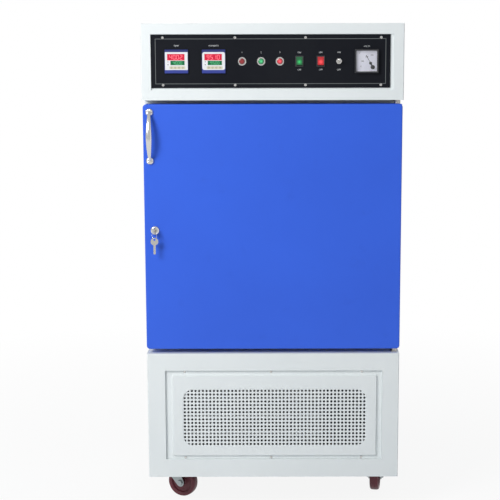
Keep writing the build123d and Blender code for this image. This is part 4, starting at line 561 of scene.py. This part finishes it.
# Front films of the two controllers: blue bands, white field, key strip and sunk display glass
def controller_face(name, middle_x, corner):
    film = Finish(name, (0.03, 0.04, 0.09), 0.34)
    x, y, z = film.axes()
    x = x - middle_x
    z = z - axis_z
    side_edge = -0.3876
    front = y < side_edge
    smear = film.grain(60.0, 4.0)
    white = film.mix((smear - 0.3) * 0.6, (0.82, 0.83, 0.85), (0.72, 0.74, 0.78))
    blue = film.mix(z > 0.0, (0.026, 0.045, 0.290), (0.012, 0.022, 0.150))
    colour = film.mix(film.inside(x, z - 0.0013, 0.0695, 0.0540, corner), blue, white)
    first_key, key_pitch, keys_below = -0.0150, 0.0115, 0.0188
    strip = film.inside(x - 0.0030, z + keys_below, 0.0480, 0.0085, 0.002)
    colour = film.mix(strip, colour, (0.66, 0.63, 0.47))
    for dot_x, dot_z, radius in ((-0.0256, -0.0010, 0.0013), (-0.0256, -0.0098, 0.0016)):
        dot = film.inside(x - dot_x, z - dot_z, 2 * radius, 2 * radius, radius)
        colour = film.mix(dot, colour, (0.16, 0.17, 0.20))
    for key in range(4):
        key_x = first_key + key_pitch * key
        ring = film.inside(x - key_x, z + keys_below, 0.0052, 0.0052, 0.0026)
        mark = film.inside(x - key_x, z + keys_below, 0.0026, 0.0026, 0.0013)
        colour = film.mix(ring * (1.0 - mark) * 0.7, colour, (0.20, 0.18, 0.13))
    red = film.inside(x + 0.0015, z - 0.0130, 0.0532, 0.0192)
    green = film.inside(x - 0.0035, z + 0.0045, 0.0432, 0.0132)
    colour = film.mix(red, colour, (0.420, 0.006, 0.030))
    colour = film.mix(green, colour, (0.003, 0.110, 0.035))
    film.feed("Base Color", film.mix(front, (0.016, 0.020, 0.045), colour))
    glow = film.mix(red, (0.0, 0.0, 0.0), (0.30, 0.004, 0.020))
    glow = film.mix(green, glow, (0.002, 0.05, 0.02))
    film.feed("Emission Color", film.mix(front * (red + green).held(), (0.0, 0.0, 0.0), glow))
    film.feed("Emission Strength", 1.0)
    film.feed("Roughness", 0.38 - (red + green) * 0.26 + (smear - 0.5) * 0.12)
    film.bump(film.grain(900.0, 2.0), 0.05, 0.0002)
    return film


controllers = (
    ("temperature_controller", temperature_x, 0.0010, "40.02", "40.00"),
    ("humidity_controller", humidity_x, 0.0065, "95.10", "95.00"),
)
# Each bar's place in a numeral: side, rise (both -1 to 1) and whether it lies flat
bars = {
    "a": (0, 1, 1), "b": (1, 0.5, 0), "c": (1, -0.5, 0), "d": (0, -1, 1),
    "e": (-1, -0.5, 0), "f": (-1, 0.5, 0), "g": (0, 0, 1),
}
shown_by = {
    "0": "abcdef", "1": "bc", "2": "abged", "3": "abgcd", "4": "fgbc",
    "5": "afgcd", "6": "afgedc", "7": "abc", "8": "abcdefg", "9": "abcdfg",
}


def numerals(work, reading, middle, height):
    """Seven-bar numerals of a lit display, in mm about their middle."""
    back, front = -0.38820, -0.38835
    width, bar = height * 0.52, height * 0.115
    pitch = width * 1.62
    digits = reading.replace(".", "")
    start = middle[0] - pitch * (len(digits) - 1) / 2
    for place, digit in enumerate(digits):
        for letter in shown_by[digit]:
            side, rise, flat = bars[letter]
            centre = (start + pitch * place + side * width / 2, middle[1] + rise * height / 2)
            long, thin = ((width if flat else height / 2) - bar * 1.3) / 2, bar / 2
            upper = [(long + thin, 0), (long, thin), (-long, thin)]
            shape = upper + [(-a, -b) for a, b in upper]
            if not flat:
                shape = [(-b, a) for a, b in shape]
            outline = [(a * mm, b * mm) for a, b in shape]
            slab(work, outline, (centre[0] * mm, centre[1] * mm), back, front)
    point = start + pitch * (reading.index(".") - 0.5)
    square = [(bar / 2 * a * mm, bar / 2 * b * mm) for a, b in ((1, 1), (-1, 1), (-1, -1), (1, -1))]
    slab(work, square, (point * mm, (middle[1] - height / 2) * mm), back, front)


def glowing(name, colour):
    bar = Finish(name, tuple(c * 0.4 for c in colour), 0.4)
    dimmer = tuple(c * 0.7 for c in colour)
    bar.feed("Emission Color", bar.mix(bar.grain(400.0, 2.0) * 0.3, colour, dimmer))
    bar.feed("Emission Strength", 0.95)
    bar.feed("Roughness", 0.35 + bar.grain(300.0) * 0.1)
    return bar


red_bars = glowing("red display bars", (1.0, 0.20, 0.26))
green_bars = glowing("green display bars", (0.10, 0.52, 0.22))
for name, middle_x, corner, measured, wanted in controllers:
    wear(nodes[name].data, controller_face(name + " film", middle_x, corner))
    # Each reading's finish, shift and rise from the middle and height, in mm
    rows = (
        ("_measured", measured, red_bars, -1.5, 13.0, 12.5),
        ("_wanted", wanted, green_bars, 3.5, -4.5, 8.6),
    )
    for ending, reading, finish, shift, rise, height in rows:
        work = bmesh.new()
        numerals(work, reading, (middle_x / mm + shift, axis_z / mm + rise), height)
        label = name.split("_")[0] + ending
        piece(label, mesh_of(label, work), finish, "cabinet", "controller_plastic")


# White ink: numbers and short captions that any such panel has
ink = moulding("white ink", (0.62, 0.64, 0.65), 0.6)
black_ink = moulding("black ink", (0.015, 0.015, 0.018), 0.6)


def lettering(name, words, size, finish, body, slot_name, y):
    """Words set on a vertical face at depth y, each with the x and z of its middle."""
    work = bmesh.new()
    for text, x, z in words:
        curve = bpy.data.curves.new(name, "FONT")
        curve.body = text
        curve.size = size
        curve.align_x = "CENTER"
        curve.align_y = "CENTER"
        curve.extrude = 0.00004
        curve.resolution_u = 3
        setter = bpy.data.objects.new(name, curve)
        bpy.context.scene.collection.objects.link(setter)
        bpy.context.view_layer.update()
        seen = setter.evaluated_get(bpy.context.evaluated_depsgraph_get())
        letters = bpy.data.meshes.new_from_object(seen)
        bpy.data.objects.remove(setter)
        letters.transform(Matrix.Translation((x, y, z)) @ Matrix.Rotation(math.pi / 2, 4, "X"))
        work.from_mesh(letters)
        bpy.data.meshes.remove(letters)
    piece(name, mesh_of(name, work), finish, body, slot_name)


above, key_above, key_below = 0.0470, 0.0265, 0.0260
panel_words = [("TEMP", temperature_x, axis_z + above), ("HUMIDITY", humidity_x, axis_z + above)]
panel_words += [("VOLTS", voltmeter_x, axis_z + 0.0445)]
panel_words += [(str(i + 1), x, axis_z + 0.0270) for i, x in enumerate(lamp_x)]
panel_words += [("ON", x, axis_z + key_above) for x in (green_x, red_x, toggle_x)]
panel_words += [("OFF", x, axis_z - key_below) for x in (green_x, red_x, toggle_x)]
lettering("panel_captions", panel_words, 0.0066, ink, "cabinet", "black_plate", plate_face - 0.08 * mm)


# Voltmeter dial: pale card, raised quarter-circle scale about the needle's pivot, inked numbers
def voltmeter_dial():
    pivot_x, pivot_z = 0.3065, 1.43125
    card_side, card_back, card_face, ink_face = 0.0628, -0.38605, -0.38640, -0.38645
    work = bmesh.new()
    slab(work, round_corners(card_side, card_side, 0.001), (voltmeter_x, axis_z), card_back, card_face)
    card = moulding("dial card", (0.88, 0.87, 0.95), 0.55, 0.03)
    piece("voltmeter_dial", mesh_of("voltmeter_dial", work), card, "cabinet", "instrument_plastic")
    recipe = Recipe("quarter scale", Marks=31, Radius=43.0 * mm, Length=3.0 * mm, Width=0.45 * mm)
    quarter, film = math.pi / 2, 0.0001
    radius, mark_length = recipe.size("Radius"), recipe.size("Length")
    marks, width = recipe.size("Marks"), recipe.size("Width")
    arc_size = {"Resolution": marks, "Radius": radius, "Start Angle": quarter, "Sweep Angle": quarter}
    arc = recipe.node("GeometryNodeCurveArc", None, arc_size)
    mark_size = recipe.along(mark_length, width, film)
    mark = recipe.node("GeometryNodeMeshCube", None, {"Size": mark_size})
    mark = recipe.placed(mark, recipe.along(recipe.times(mark_length, 0.5)))
    number = recipe.node("GeometryNodeInputIndex")
    step = recipe.over(quarter, recipe.less(marks, 1.0))
    angle = recipe.plus(recipe.times(number, step), quarter)
    fifth = {0: recipe.maths("MODULO", number, 5.0), 1: 0.5}
    main = recipe.node("FunctionNodeCompare", {"data_type": "FLOAT", "operation": "LESS_THAN"}, fifth)
    longer = recipe.plus(recipe.times(main, 0.7), 1.0)
    laid = recipe.copies(arc, mark, Rotation=recipe.along(z=angle), Scale=recipe.along(longer, longer, 1.0))
    line_size = {"Width": width, "Height": film}
    line = recipe.node("GeometryNodeCurvePrimitiveQuadrilateral", None, line_size)
    rail = recipe.node("GeometryNodeCurveToMesh", None, {0: arc, 1: line})
    upright = recipe.placed(recipe.joined(laid, rail), turn=(math.pi / 2, 0, 0))
    work = bmesh.new()
    work.from_mesh(recipe.mesh(upright, card))
    bmesh.ops.translate(work, verts=work.verts, vec=(pivot_x, ink_face, pivot_z))
    scale = mesh_of("voltmeter_scale", work)
    piece("voltmeter_scale", scale, card, "cabinet", "instrument_plastic")
    number_radius, pulled_in = 0.0365, {"300": 4, "0": -4}
    words = []
    for place, reading in enumerate(("300", "200", "100", "0")):
        turn = math.radians(90 + 30 * place + pulled_in.get(reading, 0))
        x, z = number_radius * math.cos(turn), number_radius * math.sin(turn)
        words.append((reading, pivot_x + x, pivot_z + z))
    words.append(("V", 0.2665, 1.4740))
    lettering("voltmeter_numbers", words, 0.0062, black_ink, "cabinet", "instrument_plastic", ink_face)


voltmeter_dial()


# Bow handle: one smooth bar of changing oval section between two lobed feet
def bow_handle():
    handle_x, top, centres, reach, thickness = -0.380, 1.2955, 0.150, 0.036, 0.007
    end_width, middle_width = 0.008, 0.018
    start, proud = 0.005, reach - thickness / 2
    rise = proud - start
    radius = ((centres / 2) ** 2 + rise**2) / (2 * rise)
    half_turn = math.asin(centres / 2 / radius)
    middle = top - centres / 2
    work = bmesh.new()
    rings = []
    stations, sides = 40, 24
    for i in range(stations + 1):
        share = -1 + 2 * i / stations
        turn = share * half_turn
        bow = radius * (1 - math.cos(turn))
        centre = Vector((handle_x, door_face - proud + bow, middle + radius * math.sin(turn)))
        inwards = Vector((0, math.cos(turn), -math.sin(turn)))
        width = middle_width + (end_width - middle_width) * abs(share) ** 1.5
        ring = []
        for j in range(sides):
            a = 2 * math.pi * j / sides
            across = Vector((width / 2 * math.cos(a), 0, 0))
            ring.append(work.verts.new(centre + across + inwards * (thickness / 2 * math.sin(a))))
        rings.append(ring)
    for first, second in zip(rings, rings[1:]):
        band(work, first, second)
    work.faces.new(rings[0][::-1])
    work.faces.new(rings[-1])
    # Feet: radius and height of the dome's rings in mm, with two crossed grooves between four lobes
    dome = (
        (12.25, 0), (12.25, 1.6), (11.9, 3.2), (11.0, 5.0),
        (9.4, 6.5), (7.2, 7.5), (4.6, 7.9), (2.2, 8.0),
    )
    foot_sides, groove_width, groove_depth, least = 64, 1.5, 2.2, 0.6
    for foot_z in (top, top - centres):
        loops = []
        for r, h in dome:
            loop = []
            for j in range(foot_sides):
                a = 2 * math.pi * j / foot_sides
                px, pz = r * math.cos(a), r * math.sin(a)
                groove = max(math.exp(-((d / groove_width) ** 2)) for d in (px, pz))
                height = max(h - groove_depth * groove, least) if h > 1.0 else h
                place = (handle_x + px * mm, door_face - height * mm, foot_z + pz * mm)
                loop.append(work.verts.new(place))
            loops.append(loop)
        for first, second in zip(loops, loops[1:]):
            band(work, first, second)
        work.faces.new(loops[0][::-1])
        work.faces.new(loops[-1])
    piece("bow_handle", mesh_of("bow_handle", work, 50), nickel, "door", "chrome", "door_handle")


bow_handle()


# Door gasket: bellows section run round the plug in one closed loop
def bellows_gasket():
    side, corner = 650, 22.5
    door_back, door_middle_z = -0.325, 0.93225
    half = (
        (12.5, 0.0), (12.5, 2.2), (9.5, 3.0), (10.8, 5.0), (10.0, 6.5), (8.0, 7.2),
        (9.6, 8.6), (10.2, 10.5), (8.2, 12.8), (4.0, 13.5), (0.0, 13.7),
    )
    section = list(half) + [(-u, v) for u, v in half[-2::-1]]
    work = bmesh.new()
    loops = []
    for u, v in section:
        outline = round_corners((side + 2 * u) * mm, (side + 2 * u) * mm, (corner + u) * mm, 8)
        loops.append([work.verts.new((x, door_back + v * mm, door_middle_z + z)) for x, z in outline])
    for first, second in zip(loops, loops[1:] + loops[:1]):
        band(work, first, second)
    gasket = mesh_of("bellows_gasket", work, 50)
    piece("bellows_gasket", gasket, silicone, "door", "gasket_rubber", "door_gasket")


bellows_gasket()


# Castor wheels: polyurethane tyre with round shoulders on a webbed hub, turned about each axle
def castor_wheel(corner):
    joint = next(j for j in frame["joints"] if j["name"] == "roll_" + corner)
    axis = Vector(joint["axis"]).normalized()
    half = (
        (5.25, 17.0), (11.0, 17.0), (12.0, 16.2), (12.6, 9.0), (15.0, 7.0),
        (31.0, 6.2), (33.5, 7.2), (35.0, 11.5), (37.0, 13.2), (41.0, 14.6),
        (45.0, 14.8), (47.8, 13.2), (49.4, 9.8), (49.95, 5.0), (50.0, 0.0),
    )
    section = list(half) + [(r, -w) for r, w in half[-2::-1]]
    work = bmesh.new()
    sides = 72
    turns = [2 * math.pi * j / sides for j in range(sides)]
    loops = []
    for r, w in section:
        places = [(r * math.cos(turn) * mm, r * math.sin(turn) * mm, w * mm) for turn in turns]
        loops.append([work.verts.new(place) for place in places])
    for first, second in zip(loops, loops[1:] + loops[:1]):
        band(work, first, second)
    seat = Matrix.Translation(joint["pos_m"]) @ axis.to_track_quat("Z", "Y").to_matrix().to_4x4()
    bmesh.ops.transform(work, matrix=seat, verts=work.verts)
    label = "polyurethane_wheel_" + corner
    wheel = mesh_of(label, work, 35)
    piece(label, wheel, polyurethane, "wheel_" + corner, "castor_tread", "castor_wheel_" + corner)


for corner in ("front_left", "front_right", "rear_left", "rear_right"):
    castor_wheel(corner)


# Wire shelves: round wires laid side by side over a round frame
def wire_shelf():
    low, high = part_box("wire_shelves")
    middle = (low + high) / 2
    rod, corner, end_inset = 6.0 * mm, 0.014, 0.018
    sizes = {"Wide": high.x - low.x, "Deep": high.y - low.y, "Wire": 3.0 * mm, "Frame": rod}
    recipe = Recipe("wire shelf", Wires=31, **sizes)
    wide, deep = recipe.size("Wide"), recipe.size("Deep")
    frame_rod, wire = recipe.size("Frame"), recipe.size("Wire")
    across, along = recipe.less(wide, frame_rod), recipe.less(deep, frame_rod)
    border_size = {"Width": across, "Height": along}
    border = recipe.node("GeometryNodeCurvePrimitiveQuadrilateral", None, border_size)
    rounded = {"Curve": border, "Radius": corner, "Count": 6}
    border = recipe.node("GeometryNodeFilletCurve", {"mode": "POLY"}, rounded)
    ring_size = {"Resolution": 10, "Radius": recipe.over(frame_rod, 2.0)}
    ring = recipe.node("GeometryNodeCurvePrimitiveCircle", None, ring_size)
    border = recipe.node("GeometryNodeCurveToMesh", None, {0: border, 1: ring})
    wire_radius = recipe.over(wire, 2.0)
    bar_size = {"Vertices": 8, "Radius": wire_radius, "Depth": along}
    bar = recipe.node("GeometryNodeMeshCylinder", None, bar_size)
    bar = recipe.placed(bar, recipe.along(z=recipe.times(wire, 0.5)), (math.pi / 2, 0, 0))
    half_wide = recipe.times(wide, 0.5)
    ends = {
        "Count": recipe.size("Wires"),
        "Start Location": recipe.along(recipe.less(end_inset, half_wide)),
        "Offset": recipe.along(recipe.less(half_wide, end_inset)),
    }
    row = recipe.node("GeometryNodeMeshLine", {"mode": "END_POINTS"}, ends)
    wires = recipe.copies(row, bar)
    tie_size = {"Vertices": 8, "Radius": wire_radius, "Depth": across}
    tie = recipe.node("GeometryNodeMeshCylinder", None, tie_size)
    tie = recipe.placed(tie, recipe.along(z=recipe.times(wire, -0.5)), (0, math.pi / 2, 0))
    mesh = recipe.mesh(recipe.joined(border, wires, tie), stainless_bar)
    work = bmesh.new()
    for level in (low.z + rod / 2, high.z - rod / 2):
        copy = mesh.copy()
        copy.transform(Matrix.Translation((middle.x, middle.y, level)))
        work.from_mesh(copy)
    shelves = mesh_of("round_wire_shelves", work, 50)
    piece("round_wire_shelves", shelves, stainless_bar, "cabinet", "stainless", "wire_shelves")


wire_shelf()


# Fin packs of the condenser and the evaporator: thin plates on tubes between two end plates
def fin_pack(node, label, pitch, depth_inset):
    low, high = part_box(node)
    wide, deep, tall = high.x - low.x, high.y - low.y, high.z - low.z
    side_room, top_room, end_plate = 0.006, 0.004, 0.002
    sizes = {"Wide": wide - side_room, "Deep": deep - depth_inset, "Tall": tall - top_room}
    recipe = Recipe(label, Fins=int((wide - side_room) / pitch), Sheet=0.35 * mm, **sizes)
    fin_deep, fin_tall = recipe.size("Deep"), recipe.size("Tall")
    fin_size = recipe.along(recipe.size("Sheet"), fin_deep, fin_tall)
    fin = recipe.node("GeometryNodeMeshCube", None, {"Size": fin_size})
    half = recipe.times(recipe.size("Wide"), 0.5)
    ends = {
        "Count": recipe.size("Fins"),
        "Start Location": recipe.along(recipe.times(half, -1.0)),
        "Offset": recipe.along(half),
    }
    row = recipe.node("GeometryNodeMeshLine", {"mode": "END_POINTS"}, ends)
    fins = recipe.copies(row, fin)
    end_size = recipe.along(end_plate, recipe.plus(fin_deep, depth_inset), recipe.plus(fin_tall, top_room))
    end = recipe.node("GeometryNodeMeshCube", None, {"Size": end_size})
    outer = recipe.plus(half, end_plate)
    pair = [recipe.placed(end, recipe.along(recipe.times(outer, side))) for side in (1.0, -1.0)]
    work = bmesh.new()
    work.from_mesh(recipe.mesh(recipe.joined(fins, *pair), aluminium))
    middle = (low + high) / 2
    bmesh.ops.translate(work, verts=work.verts, vec=middle)
    bmesh.ops.remove_doubles(work, verts=work.verts, dist=1e-6)
    bmesh.ops.recalc_face_normals(work, faces=work.faces)
    tube_rows, tube_radius = 5, 0.005
    for number in range(tube_rows):
        level = low.z + tall * (number + 0.5) / tube_rows
        for lane in (0.3, 0.7):
            place = Matrix.Translation((middle.x, low.y + deep * lane, level))
            turned = place @ Matrix.Rotation(math.pi / 2, 4, "Y")
            tube = {"radius1": tube_radius, "radius2": tube_radius, "depth": wide - 0.001}
            bmesh.ops.create_cone(work, cap_ends=True, segments=12, matrix=turned, **tube)
    piece(label, mesh_of(label, work, 50), aluminium, "cabinet", "fin_aluminium", node)


fin_pack("condenser_coil", "condenser_fins", 0.0032, 0.006)
fin_pack("evaporator_coil", "evaporator_fins", 0.0042, 0.004)


# Camera: a long lens at chest height, looking slightly down, turned by the photograph's small roll
focal_px, picture_px = 1300, 500
look_down, roll = 9.09, 0.12
camera = bpy.data.cameras.new("camera")
camera.sensor_width = 36.0
camera.lens = camera.sensor_width * focal_px / picture_px
camera.shift_x = -0.045
camera.clip_end = 50.0
eye = bpy.data.objects.new("camera", camera)
bpy.context.scene.collection.objects.link(eye)
eye.location = (0.0, -4.403, 1.508)
eye.rotation_euler = (math.radians(90 - look_down), math.radians(roll), 0.0)
bpy.context.scene.camera = eye


def lamp(name, size, power, place, target, colour=(1, 1, 1)):
    """A soft square lamp that looks at a point of the cabinet."""
    light = bpy.data.lights.new(name, "AREA")
    light.shape = "SQUARE"
    light.size = size
    light.energy = power
    light.color = colour
    hung = bpy.data.objects.new(name, light)
    bpy.context.scene.collection.objects.link(hung)
    hung.location = place
    aim = Vector(target) - Vector(place)
    hung.rotation_euler = aim.to_track_quat("-Z", "Y").to_euler()


lamp("key lamp", 1.4, 110.0, (-2.1, -3.0, 2.8), (-0.2, -0.385, 1.1))
lamp("fill lamp", 2.4, 6.0, (2.6, -3.6, 1.5), (0.0, -0.385, 0.8), (0.96, 0.98, 1.0))
lamp("back lamp", 2.0, 30.0, (0.6, 3.4, 2.6), (0.0, 0.3, 1.0))


def pale_room():
    """White to the camera, greyer in mirrors, and a dim cool light for the rest."""
    world = bpy.data.worlds.new("pale room")
    bpy.context.scene.world = world
    world.use_nodes = True
    nodes, link = world.node_tree.nodes, world.node_tree.links.new
    nodes.clear()
    rays = nodes.new("ShaderNodeLightPath").outputs
    backs = []
    for colour, strength in (((0.90, 0.95, 1.0, 1.0), 0.27), ((1.0, 1.0, 1.0, 1.0), 1.0)):
        back = nodes.new("ShaderNodeBackground")
        back.inputs["Color"].default_value = colour
        back.inputs["Strength"].default_value = strength
        backs.append(back)
    steps = []
    for operation in ("MAXIMUM", "MULTIPLY", "MAXIMUM"):
        step = nodes.new("ShaderNodeMath")
        step.operation = operation
        steps.append(step)
    mirrored, softened, direct = steps
    link(rays["Is Glossy Ray"], mirrored.inputs[0])
    link(rays["Is Transmission Ray"], mirrored.inputs[1])
    link(mirrored.outputs[0], softened.inputs[0])
    softened.inputs[1].default_value = 0.6
    link(rays["Is Camera Ray"], direct.inputs[0])
    link(softened.outputs[0], direct.inputs[1])
    shown = nodes.new("ShaderNodeMixShader")
    link(direct.outputs[0], shown.inputs[0])
    for place, back in enumerate(backs):
        link(back.outputs[0], shown.inputs[place + 1])
    link(shown.outputs[0], nodes.new("ShaderNodeOutputWorld").inputs[0])


pale_room()


def floor():
    """A plain floor, near white to the camera, that fades into the background away from the shadow."""
    finish = Finish("pale floor", (0.80, 0.80, 0.80), 0.75)
    finish.feed("Roughness", 0.72 + finish.grain(6.0) * 0.05)
    rays = finish.node("ShaderNodeLightPath").socket.node.outputs
    camera_ray, glossy_ray, through_ray = (
        Wire(finish, rays[kind]) for kind in ("Is Camera Ray", "Is Glossy Ray", "Is Transmission Ray")
    )
    seen = camera_ray.larger(glossy_ray).larger(through_ray)
    glow = finish.node("ShaderNodeEmission", None, {"Color": (1, 1, 1, 1), "Strength": 1.0})
    x, y, z = finish.axes()
    far = length(x, y).ramp(0.7, 2.6)
    near_share = 0.9
    share = seen * (near_share + far * (1.0 - near_share))
    lit_floor = finish.tree.nodes.new("ShaderNodeMixShader")
    link = finish.tree.links.new
    link(share.socket, lit_floor.inputs[0])
    link(finish.shader.outputs[0], lit_floor.inputs[1])
    link(glow.socket, lit_floor.inputs[2])
    link(lit_floor.outputs[0], finish.output.inputs["Surface"])
    work = bmesh.new()
    work.faces.new([work.verts.new((x, y, 0.0)) for x, y in ((-9, -6), (9, -6), (9, 9), (-9, 9))])
    mesh = bpy.data.meshes.new("floor")
    work.to_mesh(mesh)
    work.free()
    mesh.materials.append(finish.material)
    ground = bpy.data.objects.new("floor", mesh)
    bpy.context.scene.collection.objects.link(ground)


floor()

bpy.context.scene.view_settings.view_transform = "Standard"
